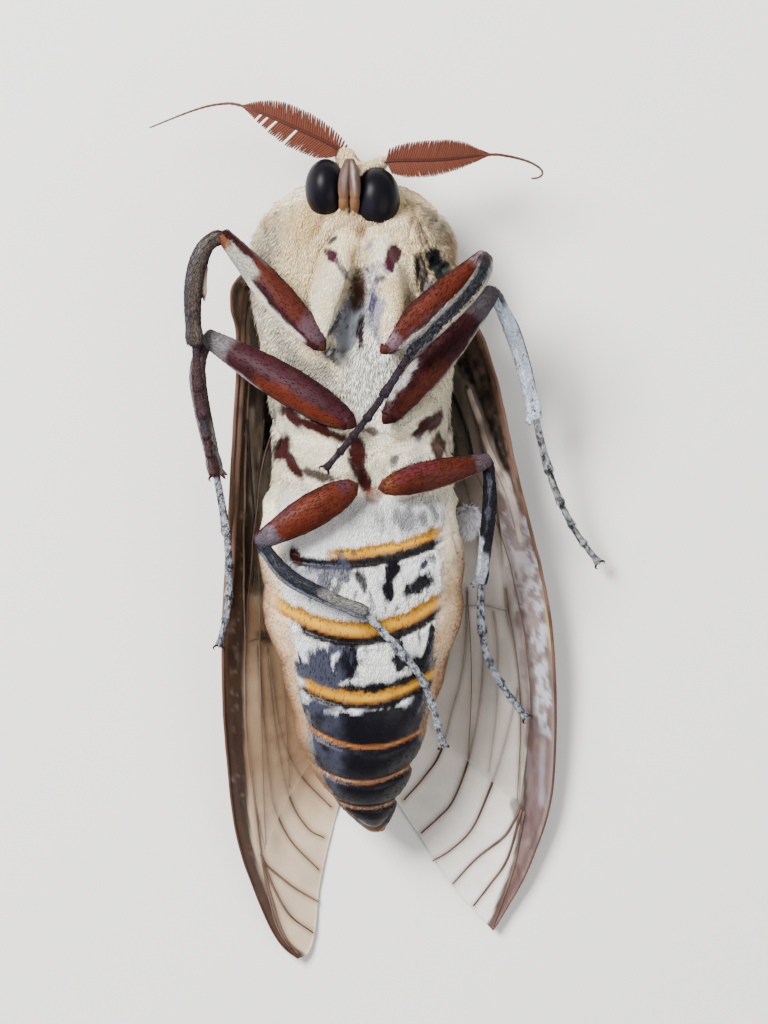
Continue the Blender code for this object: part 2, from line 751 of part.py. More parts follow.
def fold_height(fold, x, y):
    """How high the folded wings' underside lies over the floor at one place."""
    edge = np.array(sorted((py, px) for px, py in (*fold.costa, fold.tip)))
    rise = np.array(sorted(fold.costa_height))
    costa_x = np.interp(y, edge[:, 0], edge[:, 1])
    costa_z = np.interp(y, rise[:, 0], rise[:, 1])
    room = abs(costa_x - MIDLINE) - fold.flat_reach
    share = (abs(x - MIDLINE) - fold.flat_reach) / max(room, 1.0)
    return costa_z * min(max(share, 0.0), 1.15) ** WING_RISE


def fold_normal(fold, x, y):
    """The unit vector square to the folded wings at one place."""
    step = 0.5
    slope_x = (fold_height(fold, x + step, y) - fold_height(fold, x - step, y)) / (2 * step)
    slope_y = (fold_height(fold, x, y + step) - fold_height(fold, x, y - step)) / (2 * step)
    normal = np.array((-slope_x, -slope_y, 1.0))
    return normal / np.linalg.norm(normal)


def wing_plan(costa, tip, termen, tornus, inner, root, columns, rows):
    """Places seen from above on a patch between costa, outer margin, inner margin and root."""
    lead = smooth_line((*costa, tip), len(columns))
    trail = smooth_line((root, *inner, tornus), len(columns))
    dense_rows = np.linspace(0, 1, 101)
    edge = smooth_line((tip, *termen, tornus), 101)
    base = smooth_line((costa[0], root), 101)
    outer = np.column_stack([np.interp(rows, dense_rows, axis) for axis in edge.T])
    start = np.column_stack([np.interp(rows, dense_rows, axis) for axis in base.T])
    plan = np.zeros((len(columns), len(rows), 2))
    for i, s in enumerate(columns):
        for j, t in enumerate(rows):
            sides = (1 - t) * lead[i] + t * trail[i] + (1 - s) * start[j] + s * outer[j]
            corners = (1 - s) * ((1 - t) * lead[0] + t * trail[0])
            corners = corners + s * ((1 - t) * lead[-1] + t * trail[-1])
            plan[i, j] = sides - corners
    return plan


def vein_rows(veins):
    """The rows of a wing's patch: its two edges, and three rows to each vein's ridge."""
    rows, ridges = [0.0], [0.5]
    for vein in veins:
        rows += [vein - RIDGE_HALF_WIDTH, vein, vein + RIDGE_HALF_WIDTH]
        ridges += [0.0, 1.0, 0.0]
    return np.array([*rows, 1.0]), np.array([*ridges, 0.0])


def wing_shape(fold, plan, ridges, lift):
    """A thin sheet over the plan, its two faces split alike, with its veins raised."""
    columns, rows = plan.shape[:2]
    below = np.zeros((columns, rows, 3))
    above = np.zeros((columns, rows, 3))
    for i in range(columns):
        for j in range(rows):
            x, y = plan[i, j]
            height = fold_height(fold, x, y)
            normal = fold_normal(fold, x, y)
            foot = np.array((x, y, height)) + normal * lift
            ridge = ridges[j] * RIDGE_HEIGHT * (1 - 0.5 * i / columns)
            under = ridge * min(1.0, height / 2) * (0.0 if lift else 0.6)
            below[i, j] = foot - normal * under
            above[i, j] = foot + normal * (WING_THICKNESS + ridge)
    below[..., 2] = np.maximum(below[..., 2], 0.0)
    points = np.vstack([below.reshape(-1, 3), above.reshape(-1, 3)])
    half = columns * rows
    faces = []
    for i in range(columns - 1):
        for j in range(rows - 1):
            a, b = i * rows + j, i * rows + j + 1
            c, d = b + rows, a + rows
            faces += [(a, b, c), (a, c, d), (a + half, c + half, b + half), (a + half, d + half, c + half)]
    rim = [i * rows for i in range(columns)]
    rim += [(columns - 1) * rows + j for j in range(1, rows)]
    rim += [i * rows + rows - 1 for i in range(columns - 2, -1, -1)]
    rim += [j for j in range(rows - 2, 0, -1)]
    for a, b in zip(rim, rim[1:] + rim[:1]):
        faces += [(a, b + half, b), (a, a + half, b + half)]
    return points, faces


def build_wings():
    """The four folded wings: forewings on the floor, hindwings between them and the belly."""
    thorax = [mesothorax_shape(GAP), metathorax_shape(GAP)]
    for side, fold in FOLDS.items():
        rows, ridges = vein_rows(FORE_VEINS)
        columns = np.linspace(0, 1, FORE_COLUMNS)
        plan = wing_plan(
            fold.costa, fold.tip, fold.termen, fold.tornus, fold.inner, fold.root, columns, rows
        )
        name = f"forewing_{side}"
        wing = combined(name, wing_shape(fold, plan, ridges, 0.0), "DIFFERENCE", thorax)
        make_node(name, wing, "wing", (*fold.costa[0], fold.costa_height[0][1]))
        rows, ridges = vein_rows(HIND_VEINS)
        columns = np.linspace(0, 1, HIND_COLUMNS)
        plan = wing_plan(
            fold.hind_costa, fold.hind_tip, fold.hind_termen, fold.hind_tornus,
            fold.hind_inner, fold.hind_root, columns, rows,
        )
        name = f"hindwing_{side}"
        wing = combined(name, wing_shape(fold, plan, ridges, HIND_LIFT), "DIFFERENCE", thorax)
        make_node(name, wing, "wing", (*fold.hind_costa[0], fold.costa_height[1][1]))


def main():
    """Clears the scene and builds the moth."""
    for old in list(bpy.data.objects):
        bpy.data.objects.remove(old)
    build_trunk()
    build_head()
    build_antennae()
    build_legs()
    build_wings()


main()
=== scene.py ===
"""The looks of a life-size wood moth, a male, lying dead on its back.

Places and lengths are in millimetres, in the frame of the solids, until a mesh is made:
the belly faces up (+Z), the head points along +Y, and +X is the moth's own left.
"""

import logging
import math
from dataclasses import dataclass, field
from enum import Enum
from typing import Callable

import bmesh
import bpy
import numpy as np
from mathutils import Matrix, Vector


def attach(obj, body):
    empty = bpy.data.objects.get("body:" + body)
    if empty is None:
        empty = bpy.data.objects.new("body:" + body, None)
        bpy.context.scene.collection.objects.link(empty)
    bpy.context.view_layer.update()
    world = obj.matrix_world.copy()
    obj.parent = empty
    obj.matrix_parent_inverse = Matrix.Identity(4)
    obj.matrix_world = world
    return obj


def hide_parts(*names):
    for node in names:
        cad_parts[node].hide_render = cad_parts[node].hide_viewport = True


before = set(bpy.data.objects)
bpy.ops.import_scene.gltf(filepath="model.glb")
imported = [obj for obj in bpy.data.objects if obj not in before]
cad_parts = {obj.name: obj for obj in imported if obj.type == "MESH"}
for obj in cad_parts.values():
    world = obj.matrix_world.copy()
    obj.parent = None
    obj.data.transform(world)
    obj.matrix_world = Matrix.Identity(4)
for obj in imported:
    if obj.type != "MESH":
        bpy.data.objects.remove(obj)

LOG = logging.getLogger("moth")
MM = 0.001
BODY = "root"
MIDLINE = -2.3
SEED = 7
MAP_MARGIN = 0.004
MAP_PATCH = 0.003
FLOOR_GAP = 0.02


class Slot(Enum):
    """The record's material slots."""

    FUR = "fur"
    BELLY = "belly"
    EYE = "eye"
    PALP = "palp"
    ANTENNA = "antenna"
    THIGH = "thigh"
    SHIN = "shin"
    FOOT = "foot"
    WING = "wing"


class Side(Enum):
    """The moth's own sides, by the direction of X."""

    RIGHT = -1
    LEFT = 1

    @property
    def word(self) -> str:
        """The side's name in lower case, as the nodes have it."""
        return self.name.lower()


CREAM = (0.82, 0.66, 0.39)
IVORY = (0.86, 0.79, 0.62)
STRAW = (0.68, 0.44, 0.18)
WHITE = (0.86, 0.88, 0.92)
PEACH = (0.54, 0.345, 0.195)
TAN = (0.36, 0.25, 0.15)
UMBER = (0.06, 0.034, 0.022)
RUST = (0.17, 0.036, 0.012)
MAROON = (0.028, 0.005, 0.0045)
SOOT = (0.0045, 0.0038, 0.0062)
SLATE = (0.04, 0.042, 0.064)
VIOLET_GREY = (0.22, 0.215, 0.31)
ASH = (0.28, 0.275, 0.28)


def shown(name: str, data: bpy.types.ID) -> bpy.types.Object:
    """A new object for a mesh, a lamp or a camera, put in the scene."""
    piece = bpy.data.objects.new(name, data)
    bpy.context.scene.collection.objects.link(piece)
    return piece


def read_rows(items: object, key: str, width: int = 1, kind: type = np.float32) -> np.ndarray:
    """One property of all of a mesh's points, corners or faces, one item to a row."""
    values = np.zeros(len(items) * width, kind)
    items.foreach_get(key, values)
    return values.reshape(-1, width) if width > 1 else values


def ease(values: np.ndarray, low: float, high: float) -> np.ndarray:
    """A smooth step from 0 at low to 1 at high.

    Args:
        values: The numbers to step.
        low: Where the step begins. It may lie above high, for a falling step.
        high: Where it ends.

    Returns:
        The stepped numbers, from 0 to 1.
    """
    t = np.clip((values - low) / (high - low), 0.0, 1.0)
    return t * t * (3 - 2 * t)


def blend(base: np.ndarray, colour: tuple, share: np.ndarray) -> np.ndarray:
    """Mixes one colour into a row of colours, each by its own share."""
    share = np.asarray(share)[:, None]
    return base * (1 - share) + np.array(colour) * share


def noise(places: np.ndarray, size: float, seed: int, octaves: int = 2) -> np.ndarray:
    """Smooth repeatable noise over space.

    Args:
        places: Points, one to a row.
        size: The width of the largest lumps.
        seed: Another number gives another pattern.
        octaves: How many layers there are, each half the size and half the strength.

    Returns:
        One number for each point, mostly between -1 and 1.
    """
    total = np.zeros(len(places))
    strength = 0.0
    for octave in range(octaves):
        cell = places / (size * 0.5**octave) + 31.7 * (seed + 3 * octave)
        base = np.floor(cell).astype(np.int64)
        t = cell - base
        t = t * t * (3 - 2 * t)
        layer = np.zeros(len(places))
        for corner in range(8):
            step = np.array([(corner >> axis) & 1 for axis in range(3)])
            key = (base + step) @ np.array((73856093, 19349663, 83492791))
            key = (key ^ (key >> 13)) * 1274126177 & 0x7FFFFFFF
            key = (key ^ (key >> 15)) * 1103515245 & 0x7FFFFFFF
            layer += np.prod(np.where(step, t, 1 - t), axis=1) * (key / 0x3FFFFFFF - 1)
        total += layer * 0.5**octave
        strength += 0.5**octave
    return total / strength * 1.4


def smooth_line(points: tuple | np.ndarray, count: int) -> np.ndarray:
    """Evenly spaced points on a smooth curve through a few given ones.

    Args:
        points: The given points, two or more.
        count: How many points to return.

    Returns:
        The points, one to a row.
    """
    points = np.array(points, float)
    if len(points) == 2:
        return points[0] + np.linspace(0, 1, count)[:, None] * (points[1] - points[0])
    padded = np.vstack([2 * points[0] - points[1], points, 2 * points[-1] - points[-2]])
    dense = []
    for before, start, end, after in zip(padded, padded[1:], padded[2:], padded[3:]):
        t = np.linspace(0, 1, 24, endpoint=False)[:, None]
        cubic = 3 * start - before - 3 * end + after
        square = 2 * before - 5 * start + 4 * end - after
        dense.append(0.5 * (2 * start + (end - before) * t + square * t**2 + cubic * t**3))
    dense = np.vstack([*dense, points[-1:]])
    reach = np.append(0, np.cumsum(np.linalg.norm(np.diff(dense, axis=0), axis=1)))
    wanted = np.linspace(0, reach[-1], count)
    return np.column_stack([np.interp(wanted, reach, axis) for axis in dense.T])


def unit(vectors: np.ndarray) -> np.ndarray:
    """The same directions with length 1."""
    return vectors / np.maximum(np.linalg.norm(vectors, axis=-1, keepdims=True), 1e-9)


def path_distance(places: np.ndarray, path: np.ndarray) -> tuple[np.ndarray, np.ndarray]:
    """How far points lie from a path, and how far along it their nearest points are.

    Args:
        places: Points, one to a row, in as many axes as the path.
        path: The path's own points.

    Returns:
        The distances, and the shares of the path's length.
    """
    best = np.full(len(places), 1e9)
    share = np.zeros(len(places))
    for i in range(len(path) - 1):
        step = path[i + 1] - path[i]
        t = np.clip((places - path[i]) @ step / max(step @ step, 1e-12), 0, 1)
        away = np.linalg.norm(places - (path[i] + t[:, None] * step), axis=1)
        nearer = away < best
        best = np.where(nearer, away, best)
        share = np.where(nearer, (i + t) / (len(path) - 1), share)
    return best, share


@dataclass
class Shape:
    """Points and faces, with what the coat has to know at each point."""

    points: np.ndarray
    faces: list
    along: np.ndarray = None
    turn: np.ndarray = None
    tints: np.ndarray = None
    lie: np.ndarray = None
    cover: np.ndarray = None
    reach: np.ndarray = None
    lift: np.ndarray = None

    def __post_init__(self) -> None:
        """Fills in plain values for what wasn't given."""
        count = len(self.points)
        plain = {"along": 0.0, "turn": 0.0, "cover": 0.0, "reach": 0.4, "lift": 0.3}
        for name, value in plain.items():
            if getattr(self, name) is None:
                setattr(self, name, np.full(count, value))
        if self.tints is None:
            self.tints = np.full((count, 3), 0.5)
        if self.lie is None:
            self.lie = np.tile((0.0, -1.0, 0.0), (count, 1))


def joined(shapes: list[Shape]) -> Shape:
    """Several shapes as one."""
    faces, start = [], 0
    for shape in shapes:
        faces += [tuple(i + start for i in face) for face in shape.faces]
        start += len(shape.points)
    names = ("points", "along", "turn", "tints", "lie", "cover", "reach", "lift")
    rows = {name: np.concatenate([getattr(shape, name) for shape in shapes]) for name in names}
    return Shape(faces=faces, **rows)


def limb(
    line: np.ndarray,
    widths: np.ndarray,
    heights: np.ndarray,
    sides: int = 20,
    dome: float = 0.5,
    section: Callable | None = None,
) -> Shape:
    """A closed tube of oval section along a line.

    Args:
        line: The middle line's points.
        widths: Half widths, level and square to the line, one for each point.
        heights: Half heights, square to both, one for each point.
        sides: Points in each ring. The first lies on the right of someone who walks the
            line, a quarter turn on is the lowest, and three quarters the highest.
        dome: How far the ends bulge, as a share of their radius.
        section: Gives the radius at a turn, as a share of the oval's own.

    Returns:
        The shape, with along, turn and lie filled in.
    """
    line = np.array(line, float)
    tangents = unit(np.gradient(line, axis=0))
    turn = np.linspace(0, 2 * math.pi, sides, endpoint=False)
    swell = np.ones(sides) if section is None else section(turn)
    side = np.cross(tangents[0], (0.0, 0.0, 1.0))
    rings = []
    for point, tangent, width, height in zip(line, tangents, widths, heights):
        side = unit(side - tangent * side.dot(tangent))
        other = np.cross(tangent, side)
        across, up = np.cos(turn) * swell * width, np.sin(turn) * swell * height
        rings.append(point + across[:, None] * side + up[:, None] * other)
    start = line[0] - tangents[0] * (dome * min(widths[0], heights[0]))
    end = line[-1] + tangents[-1] * (dome * min(widths[-1], heights[-1]))
    points = np.vstack([*rings, [start], [end]])
    faces = []
    for i in range(len(line) - 1):
        for j in range(sides):
            a, b = i * sides + j, i * sides + (j + 1) % sides
            faces.append((a, b, b + sides, a + sides))
    first, last, foot = len(points) - 2, len(points) - 1, (len(line) - 1) * sides
    faces += [(first, (j + 1) % sides, j) for j in range(sides)]
    faces += [(last, foot + j, foot + (j + 1) % sides) for j in range(sides)]
    share = np.linspace(0, 1, len(line))
    return Shape(
        points,
        faces,
        along=np.append(np.repeat(share, sides), (0.0, 1.0)),
        turn=np.append(np.tile(turn, len(line)), (0.0, 0.0)),
        lie=np.vstack([np.repeat(tangents, sides, axis=0), tangents[0], tangents[-1]]),
    )


@dataclass(frozen=True)
class Streak:
    """A streak of colour along a limb.

    Its turn and its half width are in degrees, as limb() counts them: 0 on the right of
    someone who walks the limb outwards, 180 on the left and 270 on top.
    """

    turn: float
    width: float
    start: float
    end: float
    colour: tuple
    strength: float = 1.0
    rag: float = 12.0

    def mask(self, points: np.ndarray, turn: np.ndarray, along: np.ndarray) -> np.ndarray:
        """The streak's share at points, given their turns in degrees and places along."""
        away = np.abs((turn - self.turn + 180) % 360 - 180)
        away = away + self.rag * noise(points, 1.3, int(self.turn) % 89, 3)
        shifted = along + 0.03 * noise(points, 0.8, 87)
        ends = ease(shifted, self.start - 0.03, self.start + 0.05)
        ends = ends * ease(shifted, self.end + 0.05, self.end - 0.03)
        return ease(away, self.width + 8, self.width - 8) * ends * self.strength


def egg(middle: tuple, radii: tuple, sides: int, rings: int) -> Shape:
    """A closed egg about a middle point, its poles along Y."""
    tilt = np.linspace(0, math.pi, rings + 1)[1:-1]
    line = np.array(middle) + np.column_stack([0 * tilt, radii[1] * np.cos(tilt), 0 * tilt])
    shape = limb(line, radii[0] * np.sin(tilt), radii[2] * np.sin(tilt), sides, 0.0)
    shape.points[-2] = np.array(middle) + (0.0, radii[1], 0.0)
    shape.points[-1] = np.array(middle) - (0.0, radii[1], 0.0)
    return shape


class NodeSheet:
    """A node tree with a short way to add nodes to it."""

    def __init__(self, tree: bpy.types.NodeTree) -> None:
        """Keeps the tree, which may already hold nodes."""
        self.tree = tree

    def add(self, kind: str, inputs: dict | None = None, **settings: object) -> bpy.types.Node:
        """Adds one node.

        Args:
            kind: The node's type name.
            inputs: A value or an output socket for some of its inputs, by name or place.
            settings: Its other properties.

        Returns:
            The node.
        """
        node = self.tree.nodes.new(kind)
        for name, value in settings.items():
            setattr(node, name, value)
        for key, value in (inputs or {}).items():
            self.join(value, node.inputs[key])
        return node

    def join(self, value: object, socket: bpy.types.NodeSocket) -> None:
        """Links an output to an input socket, or sets the input's own value."""
        if isinstance(value, bpy.types.NodeSocket):
            self.tree.links.new(value, socket)
        else:
            socket.default_value = value

    def sockets(self, inputs: tuple = (), outputs: tuple = ()) -> None:
        """Names the sockets of a group, each given as its name and its kind."""
        for name, kind in inputs:
            self.tree.interface.new_socket(name, in_out="INPUT", socket_type=f"NodeSocket{kind}")
        for name, kind in outputs:
            self.tree.interface.new_socket(name, in_out="OUTPUT", socket_type=f"NodeSocket{kind}")


class ShaderGroups:
    """The shader effects that several finishes share, each built once."""

    def __init__(self) -> None:
        """Builds the groups."""
        self.mottle = self._mottle()
        self.relief = self._relief()
        self.specks = self._specks()

    def _start(self, name: str, inputs: tuple, outputs: tuple) -> tuple:
        """A new group with its sockets, its input node and its output node."""
        sheet = NodeSheet(bpy.data.node_groups.new(name, "ShaderNodeTree"))
        sheet.sockets(inputs, outputs)
        return sheet, sheet.add("NodeGroupInput").outputs, sheet.add("NodeGroupOutput").inputs

    def _mottle(self) -> bpy.types.NodeTree:
        """Light and dark clouds over a colour, at two sizes."""
        sheet, given, out = self._start(
            "mottle",
            (("Color", "Color"), ("Vector", "Vector"), ("Scale", "Float"), ("Amount", "Float")),
            (("Color", "Color"),),
        )
        cloud = sheet.add(
            "ShaderNodeTexNoise",
            {"Vector": given["Vector"], "Scale": given["Scale"], "Detail": 4.0, "Roughness": 0.62},
        )
        shift = sheet.add("ShaderNodeMath", {0: cloud.outputs[0], 1: 0.5}, operation="SUBTRACT")
        strength = sheet.add(
            "ShaderNodeMath", {0: shift.outputs[0], 1: given["Amount"]}, operation="MULTIPLY"
        )
        share = sheet.add("ShaderNodeMath", {0: strength.outputs[0], 1: 1.0}, operation="ADD")
        tone = sheet.add(
            "ShaderNodeVectorMath",
            {0: given["Color"], "Scale": share.outputs[0]},
            operation="SCALE",
        )
        sheet.join(tone.outputs[0], out["Color"])
        return sheet.tree

    def _relief(self) -> bpy.types.NodeTree:
        """Fine relief that can be drawn out along one axis, for a Bump node's height."""
        sheet, given, out = self._start(
            "relief",
            (("Vector", "Vector"), ("Stretch", "Vector"), ("Scale", "Float")),
            (("Height", "Float"),),
        )
        drawn = sheet.add(
            "ShaderNodeVectorMath",
            {0: given["Vector"], 1: given["Stretch"]},
            operation="MULTIPLY",
        )
        grain = sheet.add(
            "ShaderNodeTexNoise",
            {"Vector": drawn.outputs[0], "Scale": given["Scale"], "Detail": 3.0, "Roughness": 0.6},
        )
        sheet.join(grain.outputs[0], out["Height"])
        return sheet.tree

    def _specks(self) -> bpy.types.NodeTree:
        """Small specks of another colour."""
        sheet, given, out = self._start(
            "specks",
            (
                ("Color", "Color"), ("Speck", "Color"), ("Vector", "Vector"),
                ("Scale", "Float"), ("Cover", "Float"),
            ),
            (("Color", "Color"),),
        )
        grain = sheet.add(
            "ShaderNodeTexNoise",
            {"Vector": given["Vector"], "Scale": given["Scale"], "Detail": 2.0, "Roughness": 0.7},
        )
        above = sheet.add(
            "ShaderNodeMapRange",
            {
                "Value": grain.outputs[0],
                "From Min": sheet.add(
                    "ShaderNodeMath", {0: 0.78, 1: given["Cover"]}, operation="SUBTRACT"
                ).outputs[0],
                "From Max": sheet.add(
                    "ShaderNodeMath", {0: 0.83, 1: given["Cover"]}, operation="SUBTRACT"
                ).outputs[0],
            },
        )
        mixed = sheet.add(
            "ShaderNodeMix",
            {"Factor": above.outputs["Result"], 6: given["Color"], 7: given["Speck"]},
            data_type="RGBA",
        )
        sheet.join(mixed.outputs[2], out["Color"])
        return sheet.tree


@dataclass(frozen=True)
class Finish:
    """One surface's look. The colour comes from the mesh's own tint attribute.

    Scales are in lumps for each metre, as the patterns read Object coordinates.
    """

    name: str
    slot: Slot
    roughness: float = 0.7
    specular: float = 0.16
    sheen: float = 0.0
    mottle_scale: float = 900.0
    mottle: float = 0.5
    speck: tuple = UMBER
    speck_scale: float = 3000.0
    speck_cover: float = 0.0
    relief_scale: float = 5000.0
    stretch: tuple = (1.0, 0.3, 1.0)
    relief: float = 0.3
    relief_depth: float = 0.0001
    alpha: float = 1.0
    dark_roughness: float = -1.0
    dark_alpha: float = -1.0

    def material(self, groups: ShaderGroups) -> bpy.types.Material:
        """Builds the material, or returns it if it is there already."""
        if self.name in bpy.data.materials:
            return bpy.data.materials[self.name]
        material = bpy.data.materials.new(self.name)
        material.use_nodes = True
        sheet = NodeSheet(material.node_tree)
        shader = material.node_tree.nodes["Principled BSDF"]
        place = sheet.add("ShaderNodeTexCoord").outputs["Object"]
        tint = sheet.add("ShaderNodeAttribute", attribute_name="tint").outputs["Color"]
        mottle = sheet.add("ShaderNodeGroup", node_tree=groups.mottle)
        for key, value in (
            ("Color", tint), ("Vector", place), ("Scale", self.mottle_scale), ("Amount", self.mottle)
        ):
            sheet.join(value, mottle.inputs[key])
        colour = mottle.outputs["Color"]
        if self.speck_cover > 0:
            specks = sheet.add("ShaderNodeGroup", node_tree=groups.specks)
            for key, value in (
                ("Color", colour), ("Speck", (*self.speck, 1.0)), ("Vector", place),
                ("Scale", self.speck_scale), ("Cover", self.speck_cover),
            ):
                sheet.join(value, specks.inputs[key])
            colour = specks.outputs["Color"]
        sheet.join(colour, shader.inputs["Base Color"])
        self._bump(sheet, groups, place, shader)
        self._by_tone(sheet, tint, self.dark_roughness, self.roughness, shader.inputs["Roughness"])
        shader.inputs["Specular IOR Level"].default_value = self.specular
        shader.inputs["Sheen Weight"].default_value = self.sheen
        shader.inputs["Sheen Roughness"].default_value = 0.5
        self._by_tone(sheet, tint, self.dark_alpha, self.alpha, shader.inputs["Alpha"])
        return material

    def _by_tone(
        self, sheet: NodeSheet, tint: object, dark: float, usual: float, socket: bpy.types.NodeSocket
    ) -> None:
        """Gives a socket its usual value, and another where the tint is dark, unless that is below 0."""
        if dark < 0:
            socket.default_value = usual
            return
        tone = sheet.add("ShaderNodeRGBToBW", {"Color": tint})
        spread = sheet.add(
            "ShaderNodeMapRange",
            {
                "Value": tone.outputs[0], "From Min": 0.02, "From Max": 0.3,
                "To Min": dark, "To Max": usual,
            },
        )
        sheet.join(spread.outputs["Result"], socket)

    def _bump(
        self,
        sheet: NodeSheet,
        groups: ShaderGroups,
        place: bpy.types.NodeSocket,
        shader: bpy.types.Node,
    ) -> None:
        """Feeds the shader's normal from the shared relief."""
        relief = sheet.add("ShaderNodeGroup", node_tree=groups.relief)
        for key, value in (("Vector", place), ("Stretch", self.stretch), ("Scale", self.relief_scale)):
            sheet.join(value, relief.inputs[key])
        bump = sheet.add(
            "ShaderNodeBump",
            {
                "Strength": self.relief,
                "Distance": self.relief_depth,
                "Height": relief.outputs["Height"],
            },
        )
        sheet.join(bump.outputs["Normal"], shader.inputs["Normal"])


SKIN = Finish(
    "moth_skin", Slot.FUR, roughness=0.7, specular=0.11, mottle_scale=700, mottle=0.45, relief=0.4,
    dark_roughness=0.3,
)
COAT = Finish(
    "moth_coat", Slot.FUR, roughness=0.8, specular=0.12, sheen=0.05, mottle_scale=1800, mottle=0.35,
    relief=0.1,
)
BELLY_COAT = Finish(
    "belly_scales", Slot.BELLY, roughness=0.6, specular=0.11, mottle_scale=2600, mottle=0.4,
    relief=0.1, dark_roughness=0.35,
)
EYE = Finish(
    "eye_gloss", Slot.EYE, roughness=0.34, specular=0.07, mottle_scale=350, mottle=0.5,
    relief_scale=9000, stretch=(1, 1, 1), relief=0.1, relief_depth=0.00004,
)
PALP = Finish("palp_scales", Slot.PALP, roughness=0.6, mottle_scale=1200, mottle=0.5, relief=0.5)
COMB = Finish("feeler_comb", Slot.ANTENNA, roughness=0.6, mottle_scale=1500, mottle=0.3, relief=0.2)
THIGH = Finish(
    "thigh_shell", Slot.THIGH, roughness=0.5, specular=0.07, mottle_scale=900, mottle=0.6,
    relief_scale=4200, relief=0.3,
)
SHIN = Finish(
    "shin_shell", Slot.SHIN, roughness=0.55, mottle_scale=1400, mottle=0.6, relief_scale=4000,
    relief=0.45,
)
FOOT = Finish(
    "foot_shell", Slot.FOOT, roughness=0.6, mottle_scale=1600, mottle=0.6, speck=SOOT,
    speck_scale=3800, speck_cover=0.2, relief=0.5,
)
LEG_SCALES = {
    slot: Finish(
        f"{slot.value}_scales", slot, roughness=0.6, specular=0.06,
        mottle_scale=2400, mottle=0.3, relief=0.1
    )
    for slot in (Slot.THIGH, Slot.SHIN, Slot.FOOT)
}
MEMBRANE = Finish(
    "wing_membrane", Slot.WING, roughness=0.5, specular=0.16, mottle_scale=500, mottle=0.35,
    speck=UMBER, speck_scale=5200, speck_cover=0.03, relief_scale=1500, relief=0.25, alpha=0.8,
    dark_alpha=1.0,
)
CLEAR_MEMBRANE = Finish(
    "clear_membrane", Slot.WING, roughness=0.45, specular=0.16, mottle_scale=500, mottle=0.3,
    relief_scale=1500, relief=0.25, alpha=0.24,
)
VEIN = Finish("wing_vein", Slot.WING, roughness=0.6, mottle_scale=800, mottle=0.5, relief=0.2)


def lock_object(name: str, width: float, droop: float) -> bpy.types.Object:
    """A lock of hair, or a narrow scale, one unit long and pointed, for the coats to repeat.

    Args:
        name: The object's name.
        width: Its width against its length.
        droop: How far its tip bends down.

    Returns:
        The object, in no collection. Its root is at the origin and it points along Z.
    """
    corners = [(math.cos(a) * width / 2, math.sin(a) * width / 4) for a in (0.5, 2.6, 4.7)]
    points = [(x, y, 0.0) for x, y in corners]
    points += [(x * 0.9, y * 0.9 + droop * 0.35, 0.5) for x, y in corners]
    points.append((0.0, -droop, 1.0))
    faces = [(2, 1, 0)]
    for j in range(3):
        k = (j + 1) % 3
        faces += [(j, k, k + 3, j + 3), (j + 3, k + 3, 6)]
    mesh = bpy.data.meshes.new(name)
    mesh.from_pydata([Vector(p) * MM for p in points], [], faces)
    mesh.shade_smooth()
    patch = mesh.uv_layers.new(name="OFBake")
    for loop in mesh.loops:
        x, _, z = points[loop.vertex_index]
        patch.data[loop.index].uv = (0.5 + x / width, z)
    return bpy.data.objects.new(name, mesh)


